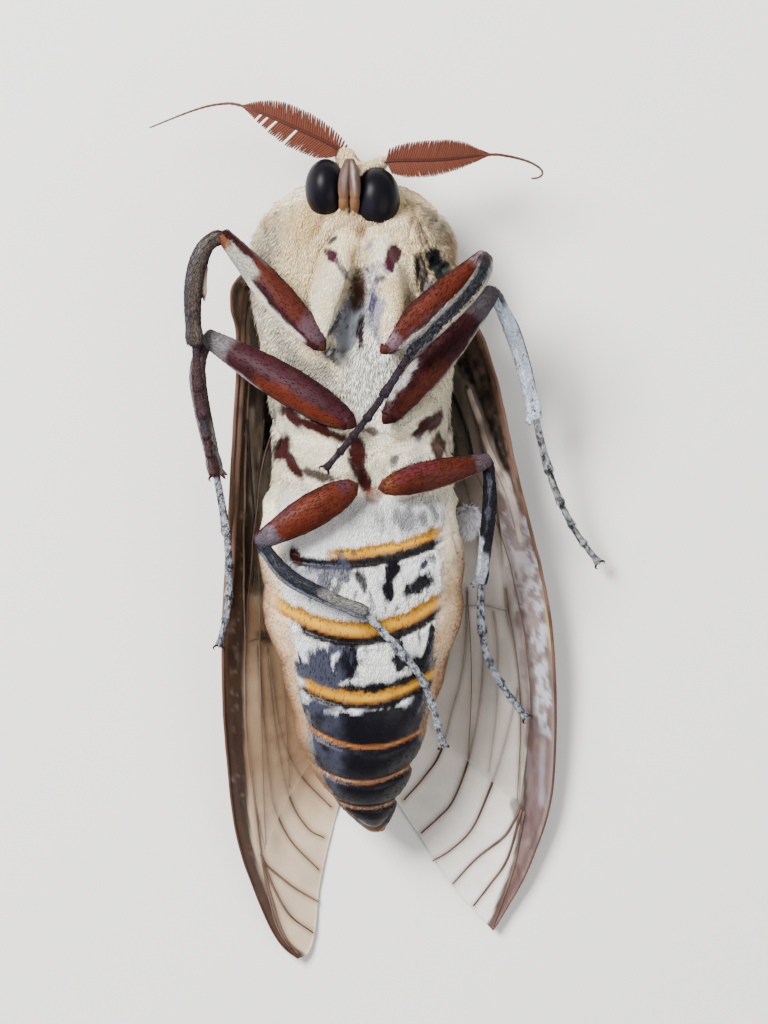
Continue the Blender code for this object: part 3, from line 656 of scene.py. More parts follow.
class GrowthTrees:
    """The two Geometry Nodes trees: one scatters a coat, one sets copies at given points."""

    def __init__(self) -> None:
        """Builds both trees."""
        self.scatter = self._scatter()
        self.plant = self._plant()

    def _attribute(self, sheet: NodeSheet, name: str, kind: str) -> bpy.types.NodeSocket:
        """A mesh attribute's value."""
        node = sheet.add("GeometryNodeInputNamedAttribute", {"Name": name}, data_type=kind)
        return node.outputs["Attribute"]

    def _random(self, sheet: NodeSheet, low: float, high: float, seed: object) -> object:
        """A random number for each point."""
        node = sheet.add("FunctionNodeRandomValue", {2: low, 3: high, "Seed": seed}, data_type="FLOAT")
        return node.outputs[1]

    def _vector(self, sheet: NodeSheet, operation: str, first: object, second: object) -> object:
        """The result of a Vector Math node."""
        second_key = "Scale" if operation == "SCALE" else 1
        node = sheet.add("ShaderNodeVectorMath", operation=operation)
        sheet.join(first, node.inputs[0])
        if second is not None:
            sheet.join(second, node.inputs[second_key])
        return node.outputs["Value" if operation == "DOT_PRODUCT" else "Vector"]

    def _number(self, sheet: NodeSheet, operation: str, first: object, second: object = 0.0) -> object:
        """The result of a Math node."""
        node = sheet.add("ShaderNodeMath", {0: first, 1: second}, operation=operation)
        return node.outputs[0]

    def _end(
        self, sheet: NodeSheet, points: object, given: object, turned: object, size: object
    ) -> None:
        """Instances the given object on points, makes it real and gives it its finish."""
        shape = sheet.add("GeometryNodeObjectInfo", {"Object": given["Piece"]})
        copies = sheet.add(
            "GeometryNodeInstanceOnPoints",
            {
                "Points": points, "Instance": shape.outputs["Geometry"], "Rotation": turned,
                "Scale": size,
            },
        )
        real = sheet.add("GeometryNodeRealizeInstances", {"Geometry": copies.outputs[0]})
        done = sheet.add(
            "GeometryNodeSetMaterial",
            {"Geometry": real.outputs[0], "Material": given["Finish"]},
        )
        sheet.join(done.outputs[0], sheet.add("NodeGroupOutput").inputs["Geometry"])

    def _scatter(self) -> bpy.types.NodeTree:
        """Scatters a piece over a skin, laid along the skin's own lie."""
        sheet = NodeSheet(bpy.data.node_groups.new("scatter_coat", "GeometryNodeTree"))
        sheet.sockets(
            (
                ("Geometry", "Geometry"), ("Piece", "Object"), ("Finish", "Material"),
                ("Density", "Float"), ("Seed", "Int"), ("Girth", "Float"), ("Stray", "Float"),
            ),
            (("Geometry", "Geometry"),),
        )
        given = sheet.add("NodeGroupInput").outputs
        density = self._number(
            sheet, "MULTIPLY", given["Density"], self._attribute(sheet, "cover", "FLOAT")
        )
        spread = sheet.add(
            "GeometryNodeDistributePointsOnFaces",
            {"Mesh": given["Geometry"], "Seed": given["Seed"]},
            distribute_method="RANDOM",
        )
        sheet.join(density, spread.inputs["Density"])
        normal = spread.outputs["Normal"]
        lie = self._attribute(sheet, "lie", "FLOAT_VECTOR")
        sunk = self._vector(sheet, "SCALE", normal, self._vector(sheet, "DOT_PRODUCT", lie, normal))
        flat = self._vector(sheet, "NORMALIZE", self._vector(sheet, "SUBTRACT", lie, sunk), None)
        raised = self._number(
            sheet, "MULTIPLY", self._attribute(sheet, "lift", "FLOAT"),
            self._random(sheet, 0.4, 1.6, 11),
        )
        aim = self._vector(
            sheet, "ADD",
            self._vector(sheet, "SCALE", flat, self._number(sheet, "COSINE", raised)),
            self._vector(sheet, "SCALE", normal, self._number(sheet, "SINE", raised)),
        )
        astray = sheet.add(
            "FunctionNodeRandomValue",
            {0: (-1.0, -1.0, -1.0), 1: (1.0, 1.0, 1.0), "Seed": 23},
            data_type="FLOAT_VECTOR",
        )
        aim = self._vector(
            sheet, "ADD", aim, self._vector(sheet, "SCALE", astray.outputs[0], given["Stray"])
        )
        turned = sheet.add(
            "FunctionNodeAxesToRotation",
            {0: aim, 1: normal},
            primary_axis="Z",
            secondary_axis="Y",
        )
        length = self._number(
            sheet, "MULTIPLY", self._attribute(sheet, "reach", "FLOAT"),
            self._random(sheet, 0.6, 1.25, 37),
        )
        girth = self._number(sheet, "MULTIPLY", given["Girth"], self._random(sheet, 0.7, 1.3, 41))
        size = sheet.add("ShaderNodeCombineXYZ", {0: girth, 1: girth, 2: length})
        rooted = sheet.add(
            "GeometryNodeStoreNamedAttribute",
            {
                "Geometry": spread.outputs["Points"], "Name": "root",
                "Value": sheet.add("GeometryNodeInputPosition").outputs[0],
            },
            data_type="FLOAT_VECTOR",
            domain="POINT",
        )
        self._end(sheet, rooted.outputs[0], given, turned.outputs[0], size.outputs[0])
        return sheet.tree

    def _plant(self) -> bpy.types.NodeTree:
        """Sets a piece at every point of a mesh, aimed and sized by the point's attributes."""
        sheet = NodeSheet(bpy.data.node_groups.new("plant_copies", "GeometryNodeTree"))
        sheet.sockets(
            (("Geometry", "Geometry"), ("Piece", "Object"), ("Finish", "Material"), ("Girth", "Float")),
            (("Geometry", "Geometry"),),
        )
        given = sheet.add("NodeGroupInput").outputs
        turned = sheet.add(
            "FunctionNodeAxesToRotation",
            {
                0: self._attribute(sheet, "aim", "FLOAT_VECTOR"),
                1: self._attribute(sheet, "up", "FLOAT_VECTOR"),
            },
            primary_axis="Z",
            secondary_axis="Y",
        )
        size = sheet.add(
            "ShaderNodeCombineXYZ",
            {0: given["Girth"], 1: given["Girth"], 2: self._attribute(sheet, "reach", "FLOAT")},
        )
        self._end(sheet, given["Geometry"], given, turned.outputs[0], size.outputs[0])
        return sheet.tree


@dataclass
class Workshop:
    """What every sub-assembly is made with: materials, trees and the way to make a piece."""

    groups: ShaderGroups = field(default_factory=ShaderGroups)
    trees: GrowthTrees = field(default_factory=GrowthTrees)

    def mesh_object(self, name: str, shape: Shape, finish: Finish | None) -> bpy.types.Object:
        """Makes an object of a shape, with its attributes and its material."""
        mesh = bpy.data.meshes.new(name)
        mesh.from_pydata((shape.points * MM).tolist(), [], shape.faces)
        self.give_attributes(mesh, shape)
        if finish is not None:
            mesh.materials.append(finish.material(self.groups))
        mesh.shade_smooth()
        return shown(name, mesh)

    def give_attributes(self, mesh: bpy.types.Mesh, shape: Shape) -> None:
        """Writes a shape's tints and its coat's facts on a mesh with the same points."""
        self.write_tint(mesh, shape.tints)
        for name in ("cover", "reach", "lift"):
            layer = mesh.attributes.get(name) or mesh.attributes.new(name, "FLOAT", "POINT")
            layer.data.foreach_set("value", getattr(shape, name).astype(np.float32))
        layer = mesh.attributes.get("lie") or mesh.attributes.new("lie", "FLOAT_VECTOR", "POINT")
        layer.data.foreach_set("vector", shape.lie.astype(np.float32).ravel())

    def write_tint(self, mesh: bpy.types.Mesh, tints: np.ndarray) -> None:
        """Writes one colour for each point of a mesh."""
        layer = mesh.attributes.get("tint") or mesh.attributes.new("tint", "FLOAT_COLOR", "POINT")
        rows = np.column_stack([np.clip(tints, 0.003, 0.95), np.ones(len(tints))])
        layer.data.foreach_set("color", rows.astype(np.float32).ravel())

    def grown(
        self, name: str, base: bpy.types.Object, tree: bpy.types.NodeTree, values: dict
    ) -> bpy.types.Object:
        """Runs a Geometry Nodes tree on a base and keeps the result as a plain mesh.

        Args:
            name: The new piece's name.
            base: The object that the tree reads. Its modifier is taken off again.
            tree: The node tree.
            values: What each of the tree's inputs is set to, by the input's name.

        Returns:
            The new object.
        """
        modifier = base.modifiers.new("Growth", "NODES")
        modifier.node_group = tree
        for socket in tree.interface.items_tree:
            if socket.in_out == "INPUT" and socket.name in values:
                modifier[socket.identifier] = values[socket.name]
        graph = bpy.context.evaluated_depsgraph_get()
        mesh = bpy.data.meshes.new_from_object(
            base.evaluated_get(graph), preserve_all_data_layers=True, depsgraph=graph
        )
        base.modifiers.remove(modifier)
        mesh.name = name
        mesh.shade_smooth()
        return shown(name, mesh)

    def finish(self, piece: bpy.types.Object, slot: Slot, *nodes: str) -> None:
        """Finishes a piece: hangs it on what it rides on, hides the nodes it stands for and logs its
        triangles.
        """
        for name in ("cover", "reach", "lift", "lie", "root", "aim", "up"):
            if name in piece.data.attributes:
                piece.data.attributes.remove(piece.data.attributes[name])
        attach(piece, BODY)
        if nodes:
            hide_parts(*nodes)
        triangles = sum(len(face.vertices) - 2 for face in piece.data.polygons)
        LOG.info("%s: %d triangles", piece.name, triangles)


@dataclass
class Coat:
    """One piece of fur or scales over a skin."""

    name: str
    finish: Finish
    locks: int
    girth: float
    stray: float = 0.12
    width: float = 0.16
    droop: float = 0.12
    tip_light: float = 0.16

    def grow(
        self,
        shop: Workshop,
        skin: bpy.types.Object,
        cover: np.ndarray,
        paint: Callable,
        unwrap: Callable,
    ) -> bpy.types.Object:
        """Scatters the locks, colours them by what they lie over and gives each its patch of the map.

        Args:
            shop: The workshop.
            skin: The object that they grow on.
            cover: The share of the full density at each of the skin's points.
            paint: Gives a colour for each root.
            unwrap: Gives a place on the skin's unwrap, from 0 to 1, for each root.

        Returns:
            The coat's object.
        """
        skin.data.attributes["cover"].data.foreach_set("value", cover.astype(np.float32))
        skin.data.update()
        lock = lock_object(f"{self.name}_lock", self.width, self.droop)
        values = {
            "Piece": lock,
            "Finish": self.finish.material(shop.groups),
            "Density": self.locks / self._room(skin.data, cover),
            "Seed": SEED,
            "Girth": self.girth,
            "Stray": self.stray,
        }
        piece = shop.grown(self.name, skin, shop.trees.scatter, values)
        mesh = piece.data
        each = len(lock.data.vertices)
        bpy.data.objects.remove(lock)
        roots = read_rows(mesh.attributes["root"].data, "vector", 3)
        roots = roots.reshape(-1, each, 3)[:, 0].astype(float) / MM
        self._colour(shop, mesh, paint, each)
        self._keep_above_floor(mesh)
        corners = read_rows(mesh.loops, "vertex_index", kind=np.int32)
        layer = mesh.uv_layers["OFBake"]
        patch = read_rows(layer.data, "uv", 2)
        places = MAP_MARGIN + (1 - 2 * MAP_MARGIN) * unwrap(roots)[corners // each]
        places = places + (patch - 0.5) * MAP_PATCH
        layer.data.foreach_set("uv", places.astype(np.float32).ravel())
        return piece

    def _room(self, mesh: bpy.types.Mesh, cover: np.ndarray) -> float:
        """The skin's area in square metres, each part counted by its cover."""
        areas = read_rows(mesh.polygons, "area")
        sizes = read_rows(mesh.polygons, "loop_total", kind=np.int32)
        corners = read_rows(mesh.loops, "vertex_index", kind=np.int32)
        starts = np.append(0, np.cumsum(sizes)[:-1])
        return float((np.add.reduceat(cover[corners], starts) / sizes * areas).sum())

    def _keep_above_floor(self, mesh: bpy.types.Mesh) -> None:
        """Lays what would reach into the floor flat on it."""
        places = read_rows(mesh.vertices, "co", 3)
        places[:, 2] = np.maximum(places[:, 2], FLOOR_GAP * MM)
        mesh.vertices.foreach_set("co", places.ravel())
        mesh.update()

    def _colour(self, shop: Workshop, mesh: bpy.types.Mesh, paint: Callable, each: int) -> None:
        """Colours the locks from root to tip by what they lie over, a little unlike each other."""
        draw = np.random.default_rng(SEED)
        places = read_rows(mesh.vertices, "co", 3).reshape(-1, each, 3).astype(float) / MM
        tones = draw.uniform(0.9, 1.07, (len(places), 1))
        root, tip = paint(places[:, :6].mean(axis=1)), paint(places[:, 6])
        rise = np.array([0.0] * 3 + [0.4] * 3 + [1.0])[None, :, None]
        shade = 1 - self.tip_light * 0.6 + self.tip_light * rise
        colours = (root[:, None] * (1 - rise) + tip[:, None] * rise) * shade * tones[:, None]
        shop.write_tint(mesh, colours.reshape(-1, 3))


@dataclass
class Patch:
    """A marking on the body, or painted shade in a hollow, as seen from below the moth: an oval with a
    ragged edge.
    """

    x: float
    y: float
    long: float
    wide: float
    turn: float
    colour: tuple
    edge: float = 0.25
    rag: float = 0.35
    strength: float = 1.0
    bare: bool = False
    deep: float = 0.0

    def mask(self, points: np.ndarray, seed: int) -> np.ndarray:
        """The marking's share at each point."""
        angle = math.radians(self.turn)
        x, y = points[:, 0] - self.x, points[:, 1] - self.y
        along = (x * math.cos(angle) + y * math.sin(angle)) / self.long
        across = (y * math.cos(angle) - x * math.sin(angle)) / self.wide
        ragged = noise(points * (1.0, 0.45, 1.0), 0.8, seed, 3) * self.rag
        return ease(np.hypot(along, across) + ragged, 1 + self.edge, 1 - self.edge) * self.strength


@dataclass
class Band:
    """The bright hind edge of a belly ring: a curve that rises forward at both sides."""

    x: float
    y: float
    rise: float
    width: float
    left: float
    right: float
    gap: float
    line: float = 0.25
    line_left: float = -9.0
    colour: tuple = (0.36, 0.155, 0.008)
    glow: tuple = (0.58, 0.31, 0.026)

    def edge(self, points: np.ndarray) -> np.ndarray:
        """The place along Y of the band's middle, at each point's own X."""
        return self.y + self.rise * (points[:, 0] - self.x) ** 2


BANDS = (
    Band(-4.8, -2.15, 0.0185, 0.62, -5.6, 6.8, 1.2, 0.56, line_left=-9.4),
    Band(-2.6, -10.55, 0.0378, 0.92, -11.6, 6.7, 1.36, 0.5, line_left=-8.8),
    Band(-2.1, -18.2, 0.041, 0.66, -8.4, 5.9, 0.92, 0.28),
    Band(-1.2, -23.7, 0.05, 0.17, -7.6, 5.2, 0.4, colour=(0.3, 0.1, 0.025), glow=(0.52, 0.26, 0.1)),
    Band(-1.9, -27.7, 0.055, 0.15, -7.4, 3.8, 0.4, colour=(0.26, 0.11, 0.05), glow=(0.5, 0.34, 0.22)),
    Band(-1.6, -30.8, 0.06, 0.12, -6.0, 3.0, 0.3, colour=(0.22, 0.11, 0.06), glow=(0.38, 0.27, 0.19)),
)
WAIST_Y = 4.4
BACK_BROWN = (0.2, 0.165, 0.13)
FLANK_TAN_AND_SHADE = (0.165, 0.08, 0.034)
FLANK_RUST = (0.2, 0.085, 0.03)
PEPPER = (0.03, 0.032, 0.048)
TAIL_RIM = (0.16, 0.07, 0.03)
BAND_BACK = (0.2, 0.065, 0.018)
LINE_BLACK = (0.0045, 0.0028, 0.0034)

MARKS = (
    # The thorax, from the throat backwards
    Patch(-2.2, 33.7, 0.95, 0.55, 90, RUST, strength=0.6),
    Patch(-2.4, 35.2, 2.2, 1.0, 0, (0.5, 0.36, 0.2), edge=0.5, strength=0.8),
    Patch(-8.6, 34.6, 3.6, 1.6, 60, STRAW, edge=0.7, strength=0.6),
    Patch(-7.0, 34.4, 1.7, 0.45, 62, (0.36, 0.19, 0.07), edge=0.5, rag=0.5, strength=0.6),
    Patch(3.8, 36.0, 3.2, 1.3, -40, STRAW, edge=0.7, strength=0.55),
    Patch(4.4, 33.6, 2.4, 0.45, -70, TAN, edge=0.5, rag=0.6, strength=0.6),
    Patch(-12.8, 32.4, 4.6, 1.3, 78, TAN, edge=0.6, rag=0.6, strength=0.6),
    Patch(-12.9, 29.0, 3.2, 0.9, 88, ASH, edge=0.6, rag=0.8, strength=0.25),
    Patch(6.7, 34.6, 4.4, 1.8, -56, (0.17, 0.138, 0.098), edge=0.6, rag=0.8, strength=0.9),
    # Painted shade: a dark line in the crease at the edge of the left shoulder flap.
    Patch(4.9, 33.6, 2.6, 0.25, -68, (0.07, 0.045, 0.03), edge=0.4, rag=0.5, strength=0.8, deep=0.3),
    Patch(8.6, 31.6, 2.6, 1.3, -75, TAN, edge=0.6, rag=0.6, strength=0.9),
    # Painted shadow: the next three are near black in the hollow between the left shoulder and the fore
    # leg.
    Patch(7.2, 29.2, 2.0, 1.2, -40, (0.02, 0.024, 0.02), rag=0.5, bare=True, deep=0.8),
    Patch(6.3, 30.9, 1.5, 0.9, -25, SOOT, rag=0.5, bare=True, deep=0.5),
    Patch(4.8, 28.7, 2.5, 0.6, 102, (0.03, 0.02, 0.016), rag=0.5, bare=True, deep=0.6),
    Patch(5.4, 27.0, 1.6, 0.5, 60, SLATE, rag=0.8, strength=0.9),
    # Painted shade: a narrow brown band in the gap between the left fore coxa and the flank.
    Patch(3.8, 24.4, 2.6, 0.35, 88, (0.16, 0.1, 0.06), edge=0.6, rag=0.5, strength=0.7),
    Patch(-5.2, 30.8, 1.1, 0.6, -48, (0.03, 0.005, 0.01), rag=0.4, bare=True),
    Patch(-4.1, 29.3, 1.4, 0.32, -55, (0.09, 0.06, 0.09), rag=0.5, strength=0.8),
    Patch(-5.2, 32.8, 0.8, 0.3, 40, (0.02, 0.012, 0.01), rag=0.3, strength=0.9),
    Patch(1.3, 30.5, 1.5, 0.75, 74, (0.04, 0.007, 0.014), rag=0.7, bare=True),
    Patch(-0.6, 25.6, 4.6, 1.05, 88, (0.22, 0.22, 0.36), edge=0.4, rag=1.0, strength=0.75),
    Patch(0.2, 28.3, 0.9, 0.6, 70, (0.045, 0.028, 0.085), rag=0.9, strength=0.9),
    Patch(-0.4, 26.1, 1.5, 0.5, 84, (0.045, 0.035, 0.1), rag=1.0, strength=0.9),
    Patch(-0.9, 23.0, 1.8, 0.5, 90, (0.1, 0.085, 0.19), rag=1.0, strength=0.85),
    Patch(-4.7, 19.7, 1.7, 0.95, -32, (0.02, 0.006, 0.005), rag=0.25, edge=0.15, bare=True, deep=0.4),
    Patch(-3.7, 19.1, 0.5, 0.38, 0, SOOT, rag=0.3, bare=True),
    Patch(-5.6, 20.2, 0.45, 0.2, 50, WHITE, rag=0.4, strength=0.6),
    Patch(1.6, 20.9, 1.1, 0.6, 10, RUST, rag=0.4, strength=0.9),
    Patch(-0.8, 17.2, 5.0, 3.4, 90, (0.95, 0.93, 0.86), edge=0.5, rag=0.4, strength=1.0),
    Patch(-3.3, 23.6, 3.7, 1.5, 77, (0.2, 0.21, 0.235), edge=0.15, rag=0.15, bare=True, deep=1.0),
    Patch(-2.5, 27.2, 2.3, 0.95, 84, (0.07, 0.034, 0.021), edge=0.3, rag=0.2, bare=True, deep=0.9),
    Patch(-2.4, 30.6, 1.7, 0.3, 90, (0.3, 0.2, 0.12), strength=0.6, deep=0.5),
    Patch(-2.1, 22.3, 2.0, 0.45, 88, (0.018, 0.008, 0.009), rag=0.3, bare=True, deep=0.4),
    Patch(-4.9, 23.6, 1.9, 0.25, 64, (0.02, 0.022, 0.032), strength=0.9, bare=True),
    # Grey fur beside the right fore thigh, with painted shadow of the thigh over it.
    Patch(-7.6, 17.6, 2.9, 1.3, -30, (0.17, 0.155, 0.15), edge=0.5, rag=0.7, strength=0.7),
    Patch(-10.4, 20.4, 2.2, 1.0, -60, ASH, edge=0.5, rag=0.7, strength=0.6),
    Patch(5.6, 17.2, 2.6, 1.0, 50, ASH, edge=0.5, rag=0.7, strength=0.7),
    # Painted shade: dark in the gap between the palps.
    Patch(-3.4, 37.6, 2.1, 0.34, 90, (0.012, 0.007, 0.006), rag=0.1, bare=True),
    # Around the middle and hind coxae
    Patch(-6.6, 11.7, 5.0, 0.62, -24, MAROON, rag=0.35, edge=0.3),
    Patch(-9.9, 13.2, 1.7, 0.7, -48, MAROON, rag=0.4),
    Patch(-6.4, 13.6, 3.0, 0.7, -24, ASH, rag=0.5, strength=0.5),
    Patch(-11.2, 9.4, 1.7, 1.0, 60, MAROON, rag=0.45),
    Patch(-9.7, 7.6, 2.2, 0.62, -58, MAROON, rag=0.4),
    Patch(-6.9, 6.5, 2.4, 0.5, -18, MAROON, rag=0.6, strength=0.9),
    Patch(-12.6, 12.6, 1.6, 0.7, 80, SLATE, rag=0.7, strength=0.8),
    Patch(-2.5, 8.8, 2.3, 1.05, 96, MAROON, rag=0.3),
    Patch(-1.7, 6.0, 1.5, 0.8, 100, MAROON, rag=0.4),
    Patch(-0.9, 11.5, 1.3, 0.4, -12, UMBER, rag=0.6, strength=0.9),
    Patch(5.4, 12.3, 2.0, 0.95, 42, MAROON, rag=0.5),
    Patch(6.6, 9.6, 2.0, 0.8, 96, UMBER, rag=0.5),
    Patch(8.2, 12.5, 1.9, 0.5, 96, UMBER, rag=0.6, strength=0.85),
    Patch(1.6, 8.2, 0.8, 0.4, 60, SLATE, rag=0.8, strength=0.8),
    Patch(4.2, 8.8, 2.0, 0.8, 75, VIOLET_GREY, rag=0.7, edge=0.5, strength=0.4),
    Patch(-0.6, 4.4, 1.0, 1.0, 0, RUST, rag=0.5, strength=0.7),
    # The first two rings of the belly
    Patch(3.4, 1.6, 2.2, 1.1, 12, SLATE, edge=0.7, rag=1.2, strength=0.75),
    Patch(-0.8, 2.0, 4.6, 1.6, 0, ASH, edge=0.6, rag=1.0, strength=0.35),
    Patch(-9.3, -2.6, 1.1, 0.7, -70, MAROON, rag=0.4),
    Patch(1.5, -4.4, 1.5, 1.15, 78, SOOT, rag=0.8),
    Patch(0.7, -6.4, 1.2, 0.85, 60, SOOT, rag=0.9),
    Patch(4.3, -5.6, 1.8, 0.75, 32, SOOT, rag=0.8),
    Patch(-2.0, -5.2, 1.3, 0.5, 115, SOOT, rag=0.7, strength=0.95),
    Patch(4.9, -3.4, 0.6, 0.3, 50, SLATE, rag=0.9),
    Patch(-5.5, -4.6, 2.0, 1.3, 40, SLATE, rag=1.4, strength=0.9),
    Patch(-4.4, -5.6, 1.0, 0.6, 70, SOOT, rag=1.3, strength=0.8),
    Patch(-7.3, -3.7, 1.3, 0.5, 20, SLATE, rag=1.3, strength=0.7),
    Patch(-7.6, -5.2, 1.8, 0.8, -30, VIOLET_GREY, rag=1.3, strength=0.5),
)


class BodyPaint:
    """The markings of the body's skin, with painted shade in some hollows and on the flanks, which its coat
    repeats.
    """

    def tints(self, points: np.ndarray) -> np.ndarray:
        """The colour at each point.

        Args:
            points: Places on the skin, in millimetres.

        Returns:
            One linear colour to a row.
        """
        cloud = noise(points, 5.0, 1, 3)
        colours = blend(np.tile(CREAM, (len(points), 1)), IVORY, ease(cloud, -0.5, 0.6))
        colours = blend(colours, STRAW, ease(noise(points, 3.0, 2), 0.35, 1.1) * 0.5)
        colours = blend(colours, IVORY, ease(points[:, 1], 22.0, 15.0) * 0.8)
        colours = self._belly(points, colours)
        low = ease(points[:, 2] + 1.2 * noise(points, 2.5, 5), 7.5, 3.0)
        back = np.tile(BACK_BROWN, (len(points), 1))
        back = blend(back, UMBER, ease(noise(points, 1.6, 6, 3), 0.1, 0.8) * 0.8)
        colours = colours * (1 - low[:, None]) + back * low[:, None]
        above = ease(points[:, 2], 8.0, 10.5)
        for number, mark in enumerate(MARKS):
            share = mark.mask(points, 20 + number) * above
            colours = blend(colours, mark.colour, share)
        return colours

    def bare(self, points: np.ndarray) -> np.ndarray:
        """How much of the skin lies bare in the hollows between the lobes."""
        masks = [mark.mask(points, 20 + number) for number, mark in enumerate(MARKS) if mark.bare]
        return np.max(masks, axis=0) * ease(points[:, 2], 8.0, 10.5)

    def hollows(self, points: np.ndarray) -> np.ndarray:
        """How deep the markings that are hollows go."""
        deep = [
            mark.deep * mark.mask(points, 20 + number)
            for number, mark in enumerate(MARKS) if mark.deep
        ]
        return np.sum(deep, axis=0) * ease(points[:, 2], 8.0, 10.5)

    def sternum(self, points: np.ndarray) -> np.ndarray:
        """The share of the belly's plates, as against its bare flanks."""
        rag = noise(points * (1.0, 0.4, 1.0), 0.9, 8, 3)
        return ease(self._outward(points) + 0.5 * rag, 0.45, -0.45)

    def _outward(self, points: np.ndarray) -> np.ndarray:
        """How far each point lies outside the edge of the belly's plates, seen from above."""
        x, y = points[:, 0], points[:, 1]
        middle = np.interp(-y, (0.0, 20.0, 34.0), (-1.9, -1.8, -0.6))
        half = np.interp(
            -y, (-5.0, 6.0, 14.0, 20.0, 26.0, 30.0, 34.0), (9.2, 8.9, 7.6, 6.7, 5.8, 4.1, 1.9)
        )
        return np.abs(x - middle) - half

    def _belly(self, points: np.ndarray, colours: np.ndarray) -> np.ndarray:
        """Adds the belly's flanks, plates and bright bands."""
        edges = np.array([band.edge(points) for band in BANDS])
        x, y = points[:, 0], points[:, 1]
        rag = noise(points * (1.0, 0.4, 1.0), 0.9, 8, 3)
        inside = self.sternum(points)
        belly = ease(y, WAIST_Y + 0.6, WAIST_Y - 1.2)
        colours = blend(colours, WHITE, belly * inside * 0.75)
        flank = belly * (1 - inside)
        flank_tone = 0.5 + 0.5 * noise(points, 2.2, 9, 3)
        colours = blend(colours, PEACH, flank * ease(y, 4.0, -7.0) * (0.65 + 0.35 * flank_tone))
        # The flank's own tan and painted shade: darker outwards and downwards, where the flank turns
        # towards the floor.
        low = ease(points[:, 2] + 1.4 * flank_tone, 15.4, 11.4)
        start = np.interp(-y, (0.0, 12.0, 20.0), (1.7, 1.1, 0.1))
        out = ease(self._outward(points) + 1.0 * flank_tone, start + 0.5, start + 2.4)
        shade = np.maximum(low, out) * ease(y, 3.0, -5.0)
        colours = blend(colours, FLANK_TAN_AND_SHADE, flank * shade * 0.85)
        rust = ease(y, -11.0, -24.0) * flank * ease(flank_tone, 0.15, 0.8)
        colours = blend(colours, FLANK_RUST, rust * 0.75)
        colours = self._third_ring(points, colours, inside, edges, rag)
        pepper = ease(noise(points * (1.0, 0.55, 1.0), 0.42, 15, 2), 0.22, 0.5)
        pepper = pepper * inside * ease(y, edges[0] - 1.2, edges[0] - 2.0)
        pepper = pepper * ease(noise(points, 2.4, 16), -0.3, 0.5)
        colours = blend(colours, PEPPER, pepper * 0.75)
        dark = inside * ease(y, edges[2] - 0.7, edges[2] - 1.0)
        colours = blend(colours, SOOT, dark)
        # Painted sheen: slate towards both sides of the dark plates, stronger on the left, stands in for
        # their gloss.
        sheen = ease(x + 0.9 * rag, -3.2, -5.4) * 0.8
        sheen = np.maximum(sheen, ease(x + 0.9 * rag, 2.6, 4.4) * 0.35)
        sheen = sheen * ease(noise(points, 1.1, 12, 3), -0.9, 0.5)
        colours = blend(colours, SLATE, dark * sheen)
        ragged = ease(np.abs(y - edges[2] + 1.5) + 1.1 * rag, 0.55, 0.05)
        colours = blend(colours, WHITE, dark * ragged * ease(noise(points, 2.6, 13, 2), -0.1, 0.4) * 0.75)
        rim = inside * ease(y, -32.4, -33.8)
        colours = blend(colours, TAIL_RIM, rim * 0.8)
        return self._bands(points, colours, inside, edges, rag)

    def _third_ring(
        self, points: np.ndarray, colours: np.ndarray, inside: np.ndarray, edges: np.ndarray,
        rag: np.ndarray,
    ) -> np.ndarray:
        """The third ring, white with slate and black where its scales are rubbed off."""
        x, y = points[:, 0], points[:, 1]
        ring = inside * ease(y, edges[1] - 0.8, edges[1] - 1.2) * ease(y, edges[2] + 0.1, edges[2] + 0.5)
        holes = (
            (-6.0, -14.5, 3.1, 2.9, 0.6), (5.9, -13.0, 1.2, 2.3, 0.7), (-3.6, -13.4, 1.3, 3.0, 0.7),
            (2.2, -13.0, 0.95, 1.3, 0.9), (4.0, -14.2, 1.6, 1.2, 0.9),
        )
        bare = ease(y + 0.45 * rag, edges[2] + 1.7, edges[2] + 1.2)
        for hole_x, hole_y, wide, long, ragged in holes:
            away = np.hypot((x - hole_x) / wide, (y - hole_y) / long) + ragged * rag
            bare = np.maximum(bare, ease(away, 1.15, 0.85))
        colours = blend(colours, SLATE, ring * bare)
        colours = blend(colours, SOOT, ring * bare * ease(x + 1.2 * rag, -5.0, -3.4))
        spots = ease(np.hypot(x + 5.0, (y + 13.9) / 1.2) + 0.9 * rag, 0.6, 0.3)
        spots = np.maximum(spots, ease(np.hypot((x + 7.6) / 1.6, y + 12.3) + 1.3 * rag, 1.1, 0.6))
        return blend(colours, WHITE, ring * spots)

    def _bands(
        self, points: np.ndarray, colours: np.ndarray, inside: np.ndarray, edges: np.ndarray,
        rag: np.ndarray,
    ) -> np.ndarray:
        """The bright hind edges of the rings, each with a dark line behind it."""
        x, y = points[:, 0], points[:, 1]
        patchy = 0.2 + 0.65 * ease(noise(points * (1.0, 0.5, 1.0), 1.5, 14, 2), -0.7, 0.5)
        for number, (band, edge) in enumerate(zip(BANDS, edges)):
            away = y - edge
            front = band.width + (0.35 * rag if number < 3 else 0.0)
            on_band = ease(away, front + 0.15, front - 0.1)
            on_band = on_band * ease(-away, band.width + 0.15, band.width - 0.1)
            end = ease(x + 0.5 * rag, band.right + 0.7, band.right - 0.7)
            share = on_band * end * ease(x + 0.5 * rag, band.left - 0.8, band.left + 0.8)
            colours = blend(colours, band.colour, share)
            glow = share * ease(np.abs(away), band.width * 0.75, 0.0) * patchy
            colours = blend(colours, band.glow, glow)
            behind = share * ease(-away, band.width * 0.35, band.width) * 0.7
            colours = blend(colours, BAND_BACK, behind)
            if number < 3:
                line = ease(np.abs(away + band.gap + 0.12 * rag), band.line + 0.18, band.line - 0.08)
                line = line * end * ease(x + 0.5 * rag, band.line_left - 0.5, band.line_left + 0.5)
                colours = blend(colours, LINE_BLACK, line * 0.99)
        return colours


